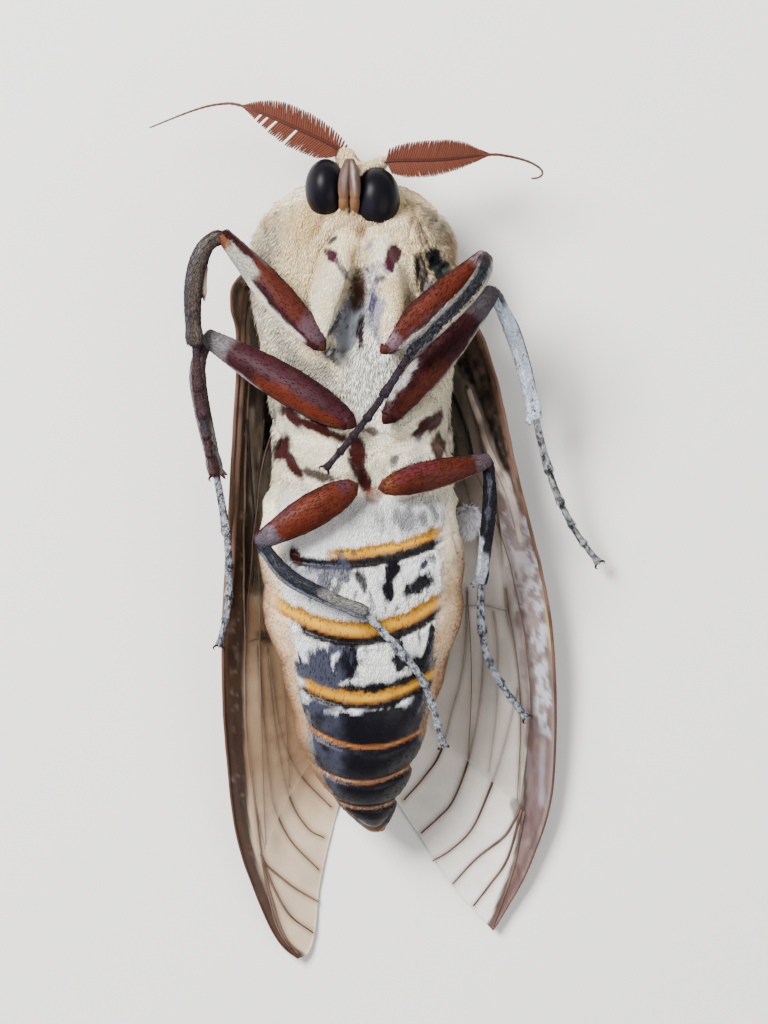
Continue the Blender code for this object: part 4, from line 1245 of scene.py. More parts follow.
@dataclass
class LegPlan:
    """One leg: its joints, its half thicknesses and its colours."""

    coxa: tuple
    hip: tuple
    knee: tuple
    shin: tuple
    ankle: tuple
    foot: tuple
    toe: tuple
    coxa_radius: float
    thigh_radius: float
    shin_radius: float
    spurs: tuple
    thigh_tint: tuple
    thigh_streaks: tuple
    shin_tint: tuple
    shin_streaks: tuple
    foot_tint: tuple
    speck: float
    shin_speck: float = 0.05
    flap: bool = False
    coxa_profile: tuple = (1.0, 1.0)

    def coxa_girth(self, share: np.ndarray) -> np.ndarray:
        """The coxa's half thickness at shares of its length."""
        stops = np.linspace(0, 1, len(self.coxa_profile))
        return self.coxa_radius * np.interp(share, stops, self.coxa_profile)


THIGH_RED = (0.062, 0.0115, 0.006)
THIGH_MAROON = (0.024, 0.0055, 0.007)
EDGE_DARK = (0.02, 0.007, 0.009)
LILAC = (0.08, 0.047, 0.058)
KNEE_GREY = (0.125, 0.115, 0.12)
PALE_SCALE = (0.64, 0.6, 0.52)
KNEE_CAP = (0.03, 0.012, 0.014)
KNOB_BROWN = (0.046, 0.014, 0.009)
SPUR_TIP = (0.02, 0.015, 0.014)
LEAF_TAN = (0.26, 0.2, 0.15)
LEAF_BROWN = (0.06, 0.035, 0.03)
JOINT_RING = (0.03, 0.018, 0.018)
CLAW_BROWN = (0.036, 0.012, 0.009)
THIGH_SCALE = (0.16, 0.12, 0.125)
WHITE_SCALE = (0.54, 0.555, 0.59)
LOBE = (0.8, 1.0, 1.0, 0.92, 0.55)
LEGS = {
    "fore_right": LegPlan(
        coxa=((-3.9, 32.6, 13.0), (-4.7, 29.5, 14.8), (-6.0, 25.4, 16.0), (-6.8, 20.9, 17.1)),
        hip=(-6.5, 20.9, 17.5),
        knee=(-17.4, 33.3, 15.3),
        shin=((-19.3, 32.0, 15.1), (-20.5, 28.9, 14.7), (-20.8, 25.2, 14.2)),
        ankle=(-20.6, 21.3, 13.6),
        foot=((-20.3, 17.6, 13.0), (-19.6, 12.1, 12.2)),
        toe=(-18.6, 6.6, 11.5),
        coxa_radius=2.15, thigh_radius=1.55, shin_radius=1.0, spurs=(), coxa_profile=LOBE,
        thigh_tint=THIGH_MAROON,
        thigh_streaks=(
            Streak(295, 42, 0.08, 0.72, (0.058, 0.012, 0.0075)),
            Streak(300, 60, 0.0, 0.2, LILAC, 0.75),
            Streak(192, 26, 0.1, 0.7, PALE_SCALE),
            Streak(225, 60, 0.62, 0.9, (0.3, 0.3, 0.25), 0.9),
            Streak(355, 24, 0.6, 1.0, (0.085, 0.055, 0.05), 0.9),
            Streak(225, 46, 0.88, 1.1, (0.15, 0.05, 0.017), 0.9),
        ),
        shin_tint=(0.058, 0.044, 0.037),
        shin_streaks=(
            Streak(340, 36, 0.15, 1.1, (0.045, 0.044, 0.055), 0.8),
            Streak(212, 16, 0.02, 0.85, (0.04, 0.024, 0.022), 0.9),
            Streak(300, 14, 0.0, 0.4, (0.12, 0.1, 0.085), 0.7),
        ),
        foot_tint=(0.06, 0.032, 0.035), speck=0.1, flap=True,
    ),
    "fore_left": LegPlan(
        coxa=((-0.4, 32.5, 13.0), (0.2, 29.5, 14.8), (0.9, 25.4, 16.0), (0.8, 20.6, 17.1)),
        hip=(0.6, 20.5, 17.4),
        knee=(11.7, 31.0, 14.8),
        shin=((11.5, 29.0, 17.1), (9.2, 25.7, 18.3)),
        ankle=(3.3, 19.9, 19.6),
        foot=((0.4, 15.3, 20.2), (-2.6, 11.2, 20.1)),
        toe=(-5.9, 7.3, 19.4),
        coxa_radius=2.4, thigh_radius=1.5, shin_radius=0.95, spurs=(), coxa_profile=LOBE,
        thigh_tint=THIGH_RED,
        thigh_streaks=(
            Streak(190, 22, 0.0, 1.0, EDGE_DARK, 0.8),
            Streak(312, 18, 0.1, 0.5, LILAC, 0.4, 24),
            Streak(340, 18, 0.06, 0.9, PALE_SCALE),
            Streak(270, 70, 0.88, 1.1, (0.17, 0.12, 0.13), 0.9),
            Streak(280, 50, 0.0, 0.12, (0.16, 0.1, 0.13), 0.8),
        ),
        shin_tint=(0.11, 0.105, 0.1),
        shin_streaks=(
            Streak(350, 40, 0.12, 1.1, (0.17, 0.165, 0.15), 0.9),
            Streak(275, 44, 0.05, 1.1, (0.01, 0.01, 0.014)),
            Streak(198, 26, 0.1, 0.8, (0.46, 0.42, 0.31), 0.95),
            Streak(270, 99, 0.0, 0.1, (0.03, 0.016, 0.02), 0.9),
        ),
        foot_tint=(0.032, 0.021, 0.027), speck=0.08,
    ),
    "mid_right": LegPlan(
        coxa=((-9.8, 13.6, 11.8), (-6.6, 12.8, 13.8), (-3.6, 11.6, 14.8)),
        hip=(-3.3, 12.4, 17.2),
        knee=(-19.4, 22.1, 11.6),
        shin=((-20.4, 17.3, 10.8),),
        ankle=(-18.4, 6.8, 9.8),
        foot=((-17.2, -0.5, 9.5), (-17.0, -6.9, 9.0)),
        toe=(-18.1, -12.6, 8.4),
        coxa_radius=2.4, thigh_radius=1.85, shin_radius=0.9, spurs=((1.0, 2),),
        thigh_tint=(0.027, 0.0062, 0.0085),
        thigh_streaks=(
            Streak(218, 34, 0.02, 0.6, (0.074, 0.013, 0.0055), 0.9, 22),
            Streak(350, 26, 0.0, 0.5, EDGE_DARK, 0.85, 20),
            Streak(292, 26, 0.25, 0.75, (0.045, 0.016, 0.022), 0.35, 26),
            Streak(186, 10, 0.55, 0.97, (0.34, 0.29, 0.29), 0.8),
            Streak(184, 10, 0.0, 0.55, EDGE_DARK, 0.8),
            Streak(270, 99, 0.82, 1.1, KNEE_GREY, 0.8, 30),
        ),
        shin_tint=(0.06, 0.045, 0.04),
        shin_streaks=(
            Streak(300, 24, 0.0, 1.1, (0.04, 0.015, 0.018), 0.95),
            Streak(345, 24, 0.2, 1.1, (0.2, 0.185, 0.2), 0.8),
            Streak(215, 22, 0.62, 1.1, (0.3, 0.29, 0.29), 0.7),
            Streak(290, 60, 0.93, 1.2, (0.11, 0.02, 0.02), 0.8),
        ),
        foot_tint=(0.29, 0.31, 0.35), speck=0.58,
    ),
    "mid_left": LegPlan(
        coxa=((6.0, 13.8, 11.8), (3.6, 13.0, 13.8), (1.0, 11.7, 14.8)),
        hip=(0.9, 12.9, 17.2),
        knee=(12.7, 27.2, 13.0),
        shin=((14.8, 22.9, 11.3), (16.3, 18.5, 9.3)),
        ankle=(17.6, 13.2, 7.4),
        foot=((19.3, 6.8, 5.8), (21.8, 1.1, 4.2)),
        toe=(25.0, -3.3, 2.5),
        coxa_radius=2.4, thigh_radius=1.7, shin_radius=0.85, spurs=((1.0, 2),),
        thigh_tint=THIGH_MAROON,
        thigh_streaks=(
            Streak(300, 40, 0.0, 0.46, (0.055, 0.011, 0.0065), 0.85, 24),
            Streak(186, 14, 0.25, 0.9, EDGE_DARK, 0.85, 20),
            Streak(200, 20, 0.08, 0.34, (0.5, 0.48, 0.47), 0.75, 34),
            Streak(353, 9, 0.04, 0.97, (0.44, 0.4, 0.33), 0.9),
            Streak(270, 99, 0.8, 1.1, (0.075, 0.07, 0.078), 0.75, 30),
        ),
        shin_tint=(0.62, 0.68, 0.78),
        shin_streaks=(
            Streak(200, 12, 0.22, 0.8, (0.03, 0.03, 0.036), 0.95, 8),
            Streak(255, 26, 0.05, 0.9, (0.4, 0.46, 0.56), 0.6),
            Streak(10, 16, 0.05, 0.9, (0.1, 0.11, 0.13), 0.6),
            Streak(200, 60, 0.0, 0.1, (0.012, 0.01, 0.014), 0.9),
        ),
        foot_tint=(0.23, 0.235, 0.24), speck=0.66, shin_speck=0.22,
    ),
    "hind_right": LegPlan(
        coxa=((-9.0, 9.2, 12.2), (-5.8, 8.0, 14.2), (-2.9, 6.2, 15.5)),
        hip=(-2.9, 5.3, 18.0),
        knee=(-13.3, -0.8, 17.9),
        shin=((-10.2, -4.5, 18.6), (-6.0, -6.8, 19.4)),
        ankle=(-1.6, -8.6, 19.6),
        foot=((1.7, -12.2, 19.0), (5.1, -16.8, 16.9)),
        toe=(7.1, -23.7, 12.2),
        coxa_radius=2.35, thigh_radius=1.72, shin_radius=0.85, spurs=((0.58, 1), (1.0, 2)),
        thigh_tint=(0.072, 0.013, 0.0058),
        thigh_streaks=(
            Streak(0, 22, 0.0, 1.0, EDGE_DARK, 0.85),
            Streak(182, 16, 0.0, 0.9, EDGE_DARK, 0.8),
            Streak(330, 34, 0.55, 1.1, (0.06, 0.02, 0.021), 0.7),
            Streak(300, 14, 0.25, 0.72, (0.125, 0.03, 0.014), 0.4),
            Streak(245, 80, 0.8, 1.1, (0.105, 0.092, 0.115), 0.85, 30),
            Streak(330, 60, 0.0, 0.12, (0.05, 0.02, 0.026), 0.8),
        ),
        shin_tint=(0.022, 0.023, 0.031),
        shin_streaks=(
            Streak(335, 26, 0.08, 1.1, (0.15, 0.16, 0.19), 0.8),
            Streak(300, 10, 0.1, 0.7, (0.01, 0.01, 0.014), 0.9),
            Streak(250, 50, 0.62, 1.1, (0.17, 0.16, 0.145), 0.8),
            Streak(180, 26, 0.0, 0.6, (0.012, 0.011, 0.014), 0.9),
        ),
        foot_tint=(0.3, 0.32, 0.36), speck=0.62, shin_speck=0.1,
    ),
    "hind_left": LegPlan(
        coxa=((6.4, 8.9, 12.2), (3.6, 7.9, 14.2), (0.9, 6.3, 15.5)),
        hip=(0.4, 5.2, 17.6),
        knee=(12.1, 8.2, 14.4),
        shin=((12.3, 3.8, 12.9), (11.9, -0.9, 11.1)),
        ankle=(11.4, -5.4, 9.6),
        foot=((11.7, -12.3, 8.2), (13.8, -17.0, 6.8)),
        toe=(16.6, -20.8, 5.7),
        coxa_radius=2.35, thigh_radius=1.45, shin_radius=0.75, spurs=((0.58, 1), (1.0, 2)),
        thigh_tint=(0.062, 0.012, 0.006),
        thigh_streaks=(
            Streak(0, 10, 0.12, 0.95, (0.36, 0.31, 0.27), 0.5),
            Streak(184, 20, 0.0, 1.0, EDGE_DARK, 0.85),
            Streak(225, 40, 0.1, 0.5, (0.08, 0.014, 0.016), 0.7, 30),
            Streak(300, 30, 0.35, 0.8, (0.062, 0.017, 0.014), 0.6, 34),
            Streak(270, 99, 0.86, 1.1, (0.085, 0.062, 0.075), 0.85, 30),
            Streak(270, 99, -0.1, 0.1, (0.105, 0.03, 0.012), 0.8),
        ),
        shin_tint=(0.01, 0.01, 0.014),
        shin_streaks=(
            Streak(345, 50, 0.62, 1.1, (0.4, 0.44, 0.5), 0.95, 30),
            Streak(265, 50, 0.74, 1.1, (0.38, 0.41, 0.46), 0.9, 34),
            Streak(280, 16, 0.1, 0.55, (0.085, 0.09, 0.11), 0.6, 30),
        ),
        foot_tint=(0.27, 0.3, 0.35), speck=0.62, shin_speck=0.06,
    ),
}


def along_ragged(points: np.ndarray) -> np.ndarray:
    """How far along the body points lie, made ragged for the coats' meeting at the waist."""
    return points[:, 1] + 1.3 * noise(points, 2.6, 45, 2)


@dataclass
class Body:
    """The one skin over trunk, coxae and head, and the fur and scales on it."""

    trunk: tuple = ("prothorax", "mesothorax", "metathorax", *(f"abdomen_{i}" for i in range(1, 8)))
    bridge: float = 0.24
    voxel: float = 0.3
    smoothing: int = 4
    head_middle: tuple = (-3.1, 38.2, 10.6)
    head_reach: float = 4.9
    scapes: tuple = (
        ((-3.5, 41.0, 10.2), (-3.95, 43.0, 11.3), 1.9, 1.45),
        ((-1.9, 40.4, 10.2), (0.6, 42.0, 11.3), 1.5, 1.25),
    )
    depths: tuple = (0.26, 0.1)
    paint: BodyPaint = field(default_factory=BodyPaint)

    def build(self, shop: Workshop) -> None:
        """Makes the skin and its coats."""
        skin = self._fused()
        shape = self._dressed(skin)
        shop.give_attributes(skin.data, shape)
        skin.data.materials.clear()
        skin.data.materials.append(SKIN.material(shop.groups))
        region = self._regions(shape.points)
        coats = (
            (Coat("chest_fur", COAT, 19700, 0.74, stray=0.14), self._trunk_map),
            (Coat("back_fur", COAT, 19700, 1.05, stray=0.14), self._trunk_map),
            (Coat("belly_scales_coat", BELLY_COAT, 19700, 0.62, stray=0.07), self._trunk_map),
            (Coat("flank_scales", BELLY_COAT, 15000, 0.7, stray=0.08), self._trunk_map),
            (Coat("coxa_fur", COAT, 19700, 0.6, stray=0.12), self._coxa_map),
            (Coat("head_fur", COAT, 9000, 0.62, stray=0.16), self._head_map),
        )
        for number, (coat, unwrap) in enumerate(coats):
            cover = shape.cover * (region == number)
            piece = coat.grow(shop, skin, cover, self.paint.tints, unwrap)
            shop.finish(piece, coat.finish.slot)
        nodes = [*self.trunk, "head", *(f"{leg}_coxa" for leg in LEGS)]
        shop.finish(skin, Slot.FUR, *nodes)

    def _fused(self) -> bpy.types.Object:
        """The flesh nodes grown over the gaps between them and fused into one skin."""
        whole = bmesh.new()
        plain = [leg for leg, plan in LEGS.items() if plan.coxa_profile != LOBE]
        for name in [*self.trunk, "head", *(f"{leg}_coxa" for leg in plain)]:
            part = bmesh.new()
            part.from_mesh(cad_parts[name].data)
            bmesh.ops.remove_doubles(part, verts=part.verts, dist=1e-6)
            part.normal_update()
            for vertex in part.verts:
                vertex.co += vertex.normal * (self.bridge * MM)
            grown = bpy.data.meshes.new(name)
            part.to_mesh(grown)
            part.free()
            whole.from_mesh(grown)
        lobes = [plan for plan in LEGS.values() if plan.coxa_profile == LOBE]
        shapes = [(plan.coxa, plan.coxa_girth(np.linspace(0, 1, 16))) for plan in lobes]
        for start, end, wide, narrow in self.scapes:
            shapes.append(((start, end), np.linspace(wide, narrow, 16)))
        for line, radii in shapes:
            lobe = limb(smooth_line(line, 16), radii, radii, 20, 0.8)
            grown = bpy.data.meshes.new("lobe")
            grown.from_pydata((lobe.points * MM).tolist(), [], lobe.faces)
            whole.from_mesh(grown)
        mesh = bpy.data.meshes.new("body_skin")
        whole.to_mesh(mesh)
        whole.free()
        skin = shown("body_skin", mesh)
        remesh = skin.modifiers.new("Fuse", "REMESH")
        remesh.mode = "VOXEL"
        remesh.voxel_size = self.voxel * MM
        smooth = skin.modifiers.new("Ease", "SMOOTH")
        smooth.iterations = self.smoothing
        smooth.factor = 0.6
        graph = bpy.context.evaluated_depsgraph_get()
        fused = bpy.data.meshes.new_from_object(skin.evaluated_get(graph))
        skin.modifiers.clear()
        skin.data = fused
        fused.name = "body_skin"
        fused.shade_smooth()
        return skin

    def _dressed(self, skin: bpy.types.Object) -> Shape:
        """Sinks the skin by its coat's depth, models its relief and works out its coat."""
        points = read_rows(skin.data.vertices, "co", 3).astype(float) / MM
        normals = read_rows(skin.data.vertices, "normal", 3).astype(float)
        waist = along_ragged(points)
        thorax = ease(waist, WAIST_Y - 2.2, WAIST_Y + 2.4)
        coxa, rim = self._coxae(points)
        soft = thorax * (1 - 0.7 * coxa)
        clumps = noise(points * (1.0, 0.5, 1.0), 2.2, 40, 3)
        strands = noise(points * (1.0, 0.3, 1.0), 0.7, 41, 2)
        folds = noise(points * (1.0, 0.35, 0.6), 3.2, 42, 2)
        rise = soft * (0.16 * clumps + 0.05 * strands) + (1 - thorax) * 0.02 * strands
        rise -= 0.28 * rim * thorax
        rise -= thorax * (1 - coxa) * 0.24 * np.exp(-((folds / 0.1) ** 2))
        rise += (1 - thorax) * self._rings(points) - self.paint.hollows(points)
        depth = self.bridge + self.depths[1] + (self.depths[0] - self.depths[1]) * thorax
        points = points + normals * (rise - depth)[:, None]
        points[:, 2] = np.maximum(points[:, 2], 0.05)
        skin.data.vertices.foreach_set("co", (points * MM).astype(np.float32).ravel())
        skin.data.update()
        return self._coat_facts(points, thorax, coxa)

    def _coxae(self, points: np.ndarray) -> tuple[np.ndarray, np.ndarray]:
        """How much each point belongs to a coxa, and to the crease round one."""
        nearest = np.full(len(points), 9.0)
        for leg in LEGS.values():
            away, share = path_distance(points, smooth_line(leg.coxa, 12))
            nearest = np.minimum(nearest, away / leg.coxa_girth(share))
        return ease(nearest, 1.35, 1.1), np.exp(-(((nearest - 1.28) / 0.12) ** 2))

    def _coat_facts(self, points: np.ndarray, thorax: np.ndarray, coxa: np.ndarray) -> Shape:
        """Where the coat lies, how long and how raised it is, and how much covers the skin."""
        tints = self.paint.tints(points)
        bright = tints.max(axis=1)
        dark = ease(bright, 0.22, 0.1)
        plate = (1 - thorax) * ease(points[:, 1], -17.5, -19.0)
        orange = (tints[:, 0] > 2.2 * tints[:, 2] + 0.12) & (points[:, 1] < 0.0)
        side = ease(np.abs(points[:, 0] - MIDLINE), 7.0, 11.0)
        flank = (1 - thorax) * (1 - self.paint.sternum(points))
        maroon = (tints[:, 0] > 2.5 * tints[:, 2]) & (bright < 0.25) & (points[:, 1] > 3.0)
        cover = (1 - 0.9 * dark * (1 - thorax)) * (1 - 0.6 * plate)
        cover = cover * np.where(orange | maroon, 0.04, 1.0) * (1 - 0.7 * flank)
        cover = cover * (1 - 0.97 * self.paint.bare(points))
        swirl = 0.45 * noise(points, 5.0, 50) * thorax
        across = np.clip((points[:, 0] - MIDLINE) / 14.0, -1, 1) * thorax
        front = ease(points[:, 1], 33.0, 39.0)
        lie = np.column_stack([across * (1 + 1.5 * front) + swirl, -1 + 0 * swirl, -0.25 + 0 * swirl])
        white = thorax * ease(np.hypot((points[:, 0] + 0.8) / 4.2, (points[:, 1] - 17.2) / 5.0), 1.1, 0.7)
        reach = thorax * (0.72 + 0.45 * side + 0.35 * white) + (1 - thorax) * 0.52
        reach = reach * (1 - 0.45 * coxa) * (1 - 0.5 * flank) * (1 - 0.35 * plate)
        reach = reach * (1 - 0.25 * front)
        lift = thorax * (0.16 + 0.2 * side + 0.1 * white) + (1 - thorax) * 0.09
        return Shape(points, [], tints=tints, lie=lie, cover=cover, reach=reach, lift=lift)

    def _rings(self, points: np.ndarray) -> np.ndarray:
        """The belly's relief: each ring bulges, with a groove behind its bright band."""
        edges = [np.full(len(points), WAIST_Y)] + [band.edge(points) for band in BANDS]
        y = points[:, 1]
        rise = np.zeros(len(points))
        for front, back, band in zip(edges, edges[1:], BANDS):
            share = np.clip((front - y) / (front - back), 0, 1)
            rise += np.where((share > 0) & (share < 1), 0.26 * np.sin(math.pi * share) ** 0.7, 0)
            rise -= 0.4 * np.exp(-(((y - back + band.gap) / 0.34) ** 2))
        fold = np.exp(-(((points[:, 2] - 9.0 - 0.03 * y + 0.8 * noise(points, 3.0, 43)) / 0.5) ** 2))
        creases = np.exp(-((noise(points * (0.5, 1.0, 0.5), 2.4, 44) / 0.1) ** 2))
        plates = self.paint.sternum(points)
        return rise * (0.1 + 0.9 * plates) - 0.22 * fold - 0.14 * creases * (1 - plates)

    def _regions(self, points: np.ndarray) -> np.ndarray:
        """Which coat each point belongs to, in the order in which they are built."""
        top = points[:, 2] > 9.5
        waist = along_ragged(points)
        region = np.where(waist < WAIST_Y - 0.4, np.where(top, 2, 3), np.where(top, 0, 1))
        for leg in LEGS.values():
            away, share = path_distance(points, smooth_line(leg.coxa, 12))
            region = np.where(away < leg.coxa_girth(share) + 0.15, 4, region)
        head = np.linalg.norm(points - self.head_middle, axis=1) < self.head_reach
        scape = (points[:, 1] > 40.9) & (points[:, 2] > 8.0)
        return np.where(head | scape, 5, region)

    def _trunk_map(self, roots: np.ndarray) -> np.ndarray:
        """The trunk unrolled: the turn about its axis, and the place along it."""
        turn = np.arctan2(roots[:, 0] - MIDLINE, -(roots[:, 2] - 8.5)) / (2 * math.pi) + 0.5
        return np.column_stack([turn, (roots[:, 1] + 35.0) / 77.0])

    def _coxa_map(self, roots: np.ndarray) -> np.ndarray:
        """The six coxae unrolled one above another."""
        best, places = np.full(len(roots), 1e9), np.zeros((len(roots), 2))
        for row, leg in enumerate(LEGS.values()):
            line = smooth_line(leg.coxa, 8)
            away, share = path_distance(roots, line)
            middle = line[0] + share[:, None] * (line[-1] - line[0])
            across = unit(np.cross(line[-1] - line[0], (0.0, 0.0, 1.0)))
            turn = np.arctan2((roots - middle) @ across, roots[:, 2] - middle[:, 2])
            here = np.column_stack([turn / (2 * math.pi) + 0.5, (row + 0.05 + 0.9 * share) / 6])
            nearer = away / leg.coxa_radius < best
            best = np.where(nearer, away / leg.coxa_radius, best)
            places = np.where(nearer[:, None], here, places)
        return places

    def _head_map(self, roots: np.ndarray) -> np.ndarray:
        """The head unrolled about an axis that runs forward."""
        out = roots - np.array(self.head_middle)
        turn = np.arctan2(out[:, 0], -out[:, 2]) / (2 * math.pi) + 0.5
        return np.column_stack([turn, np.clip((out[:, 1] + 6.0) / 12.0, 0, 1)])


EYE_BLACK = (0.0045, 0.004, 0.0058)
EYE_SHEEN = (0.009, 0.0075, 0.0125)
PALP_TAUPE = (0.08, 0.045, 0.036)
PALP_TAN = (0.175, 0.086, 0.04)
PALP_HIGHLIGHT = (0.4, 0.34, 0.3)
PALP_SIDE_SHADE = (0.05, 0.03, 0.026)
PALP_TIP = (0.07, 0.04, 0.03)
STEM_RED = (0.045, 0.013, 0.009)
THREAD_RED = (0.09, 0.03, 0.017)
THREAD_GREY = (0.085, 0.066, 0.056)
RAMUS_RED = (0.098, 0.026, 0.013)


@dataclass
class Head:
    """Eyes and palps."""

    eyes: dict = field(
        default_factory=lambda: {
            Side.RIGHT: ((-6.05, 38.75, 11.6), (2.32, 3.3, 2.85)),
            Side.LEFT: ((-0.35, 37.65, 11.6), (2.65, 3.45, 2.85)),
        }
    )
    palps: dict = field(
        default_factory=lambda: {
            Side.RIGHT: ((-4.0, 35.9, 11.5), (-4.02, 37.1, 13.7), (-3.95, 39.2, 14.5), (-3.55, 41.7, 13.6)),
            Side.LEFT: ((-2.9, 35.8, 11.5), (-2.8, 37.0, 13.7), (-2.8, 39.2, 14.5), (-3.15, 41.7, 13.6)),
        }
    )
    palp_radius: float = 0.7
    palp_profile: tuple = (0.85, 0.95, 0.9, 0.9, 1.0, 1.08, 1.06, 0.9, 0.6)

    def build(self, shop: Workshop) -> None:
        """Makes both eyes and both palps."""
        for side, (middle, radii) in self.eyes.items():
            eye = egg(middle, radii, 56, 36)
            # Painted sheen: dark bluish bands over the black stand in for the eye's reflection.
            band = noise(eye.points * (1.0, 0.5, 1.0), 2.0, 60 + side.value)
            dark = np.tile(EYE_BLACK, (len(eye.points), 1))
            eye.tints = blend(dark, EYE_SHEEN, ease(band, 0.0, 0.8))
            name = f"eye_{side.word}"
            shop.finish(shop.mesh_object(f"{name}_ball", eye, EYE), Slot.EYE, name)
        for side, line in self.palps.items():
            name = f"palp_{side.word}"
            base = shop.mesh_object(f"{name}_blade", self._palp(side, line), PALP)
            shop.finish(base, Slot.PALP, name)

    def _palp(self, side: Side, line: tuple) -> Shape:
        """One palp: two joints, flattened against its neighbour."""
        count = 60
        path = smooth_line(line, count)
        share = np.linspace(0, 1, count)
        radii = self.palp_radius * np.interp(
            share, np.linspace(0, 1, len(self.palp_profile)), self.palp_profile
        )
        waist = 1 - 0.1 * np.exp(-(((share - 0.42) / 0.03) ** 2))
        palp = limb(path, radii * 0.9 * waist, radii * 0.98 * waist, 28, 0.8)
        palp.tints = self._tints(side, palp)
        return palp

    def _tints(self, side: Side, palp: Shape) -> np.ndarray:
        """Orange-tan at the root, taupe beyond, painted shade on the sides and a painted highlight along
        the top.
        """
        points = palp.points
        colours = np.tile(PALP_TAUPE, (len(points), 1))
        colours = blend(colours, PALP_TAN, ease(points[:, 1], 39.2, 36.8))
        upward = np.abs((np.degrees(palp.turn) - 270 + 180) % 360 - 180)
        upward = upward + 14 * noise(points * (1.0, 0.3, 1.0), 0.8, 70)
        # Painted highlight: a pale streak along the top, strong on the left palp and faint on the right.
        streak = ease(upward, 20, 4) * ease(points[:, 1], 36.8, 39.2) * ease(points[:, 1], 41.9, 41.0)
        colours = blend(colours, PALP_HIGHLIGHT, streak * (0.6 if side is Side.LEFT else 0.15))
        # Painted shade: darker where the palp turns away from the top.
        colours = blend(colours, PALP_SIDE_SHADE, ease(upward, 70, 100) * 0.75)
        return blend(colours, PALP_TIP, ease(points[:, 1], 41.0, 41.9) * 0.8)


@dataclass
class Feeler:
    """One antenna: its stem, its two rows of rami and how far they reach."""

    side: Side
    stem: tuple
    comb_end: float
    upper_reach: tuple
    lower_reach: tuple
    gaps: tuple = ()
    comb_start: float = 0.05
    rami: int = 45
    stem_radius: float = 0.24
    tip_radius: float = 0.09
    lean: float = 70.0

    def build(self, shop: Workshop) -> None:
        """Makes the stem and the comb, which together stand for the node."""
        name = f"feeler_{self.side.word}"
        line = smooth_line(self.stem, 90)
        share = np.linspace(0, 1, 90)
        radii = np.interp(
            share, (0, 0.03, 0.06, self.comb_end, 1),
            (0.6, 0.42, self.stem_radius, 0.17, self.tip_radius),
        )
        radii = radii * (1 + 0.1 * np.sin(np.arange(90) * 2.4))
        stem = limb(line, radii, radii, 12, 0.8)
        red = np.tile(STEM_RED, (len(stem.points), 1))
        red = blend(red, THREAD_RED, ease(stem.along, self.comb_end - 0.08, self.comb_end))
        stem.tints = blend(red, THREAD_GREY, ease(stem.along, 0.72, 0.95))
        shop.finish(
            shop.mesh_object(f"{name}_stem", stem, COMB), Slot.ANTENNA, f"antenna_{self.side.word}"
        )
        points, aims, ups, lengths, tints = self._rows()
        base = shop.mesh_object(f"{name}_roots", Shape(points, [], tints=tints), None)
        for key, kind, field_name, values in (
            ("aim", "FLOAT_VECTOR", "vector", aims),
            ("up", "FLOAT_VECTOR", "vector", ups),
            ("reach", "FLOAT", "value", lengths),
        ):
            layer = base.data.attributes.get(key) or base.data.attributes.new(key, kind, "POINT")
            layer.data.foreach_set(field_name, values.astype(np.float32).ravel())
        ramus = self._ramus()
        comb = shop.grown(
            f"{name}_comb", base, shop.trees.plant,
            {"Piece": ramus, "Finish": COMB.material(shop.groups), "Girth": 1.0},
        )
        bpy.data.objects.remove(ramus)
        bpy.data.objects.remove(base)
        shop.finish(comb, Slot.ANTENNA)

    def _rows(self) -> tuple:
        """Where each ramus stands, where it points and how long it is."""
        draw = np.random.default_rng(SEED + self.side.value)
        line = smooth_line(self.stem, 4000)
        tangents = unit(np.gradient(line, axis=0))
        points, aims, ups, lengths = [], [], [], []
        for i in range(self.rami):
            place = (i + 0.5) / self.rami
            at = int((self.comb_start + (self.comb_end - self.comb_start) * place) * 3999)
            across = unit(np.cross(tangents[at], (0.0, 0.0, 1.0)))
            over = np.cross(across, tangents[at])
            for row, reaches in ((-1, self.upper_reach), (1, self.lower_reach)):
                if any(row == gap[0] and gap[1] < place < gap[2] for gap in self.gaps):
                    continue
                lean = math.radians(self.lean + draw.uniform(-0.7, 0.7))
                out = across * (row * self.side.value * math.sin(lean)) + tangents[at] * math.cos(lean)
                out = out + over * (0.16 + draw.uniform(-0.02, 0.02))
                reach = np.interp(place, np.linspace(0, 1, len(reaches)), reaches)
                points.append(line[at])
                aims.append(unit(out))
                ups.append(over)
                lengths.append(reach * draw.uniform(0.97, 1.03))
        tones = draw.uniform(0.92, 1.08, (len(points), 1))
        tints = np.tile(RAMUS_RED, (len(points), 1)) * tones
        return np.array(points), np.array(aims), np.array(ups), np.array(lengths), tints

    def _ramus(self) -> bpy.types.Object:
        """One ramus, a unit long along Z: a blade as wide as the fine hairs on its sides."""
        t = np.linspace(0, 1, 8)
        line = np.column_stack([0 * t, 0.22 * t * (1 - t), t])
        wide = 0.15 * np.interp(t, (0, 0.15, 0.5, 0.9, 1), (1.0, 1.0, 0.93, 0.8, 0.5))
        turn = np.linspace(0, 2 * math.pi, 6, endpoint=False)
        rings = [
            np.column_stack([w * np.cos(turn), row[1] + 0.5 * w * np.sin(turn), 0 * turn + row[2]])
            for row, w in zip(line, wide)
        ]
        faces = [tuple(range(5, -1, -1)), tuple(range(42, 48))]
        for i in range(7):
            for j in range(6):
                a, b = i * 6 + j, i * 6 + (j + 1) % 6
                faces.append((a, b, b + 6, a + 6))
        mesh = bpy.data.meshes.new("ramus")
        mesh.from_pydata((np.vstack(rings) * MM).tolist(), [], faces)
        mesh.shade_smooth()
        return bpy.data.objects.new("ramus", mesh)


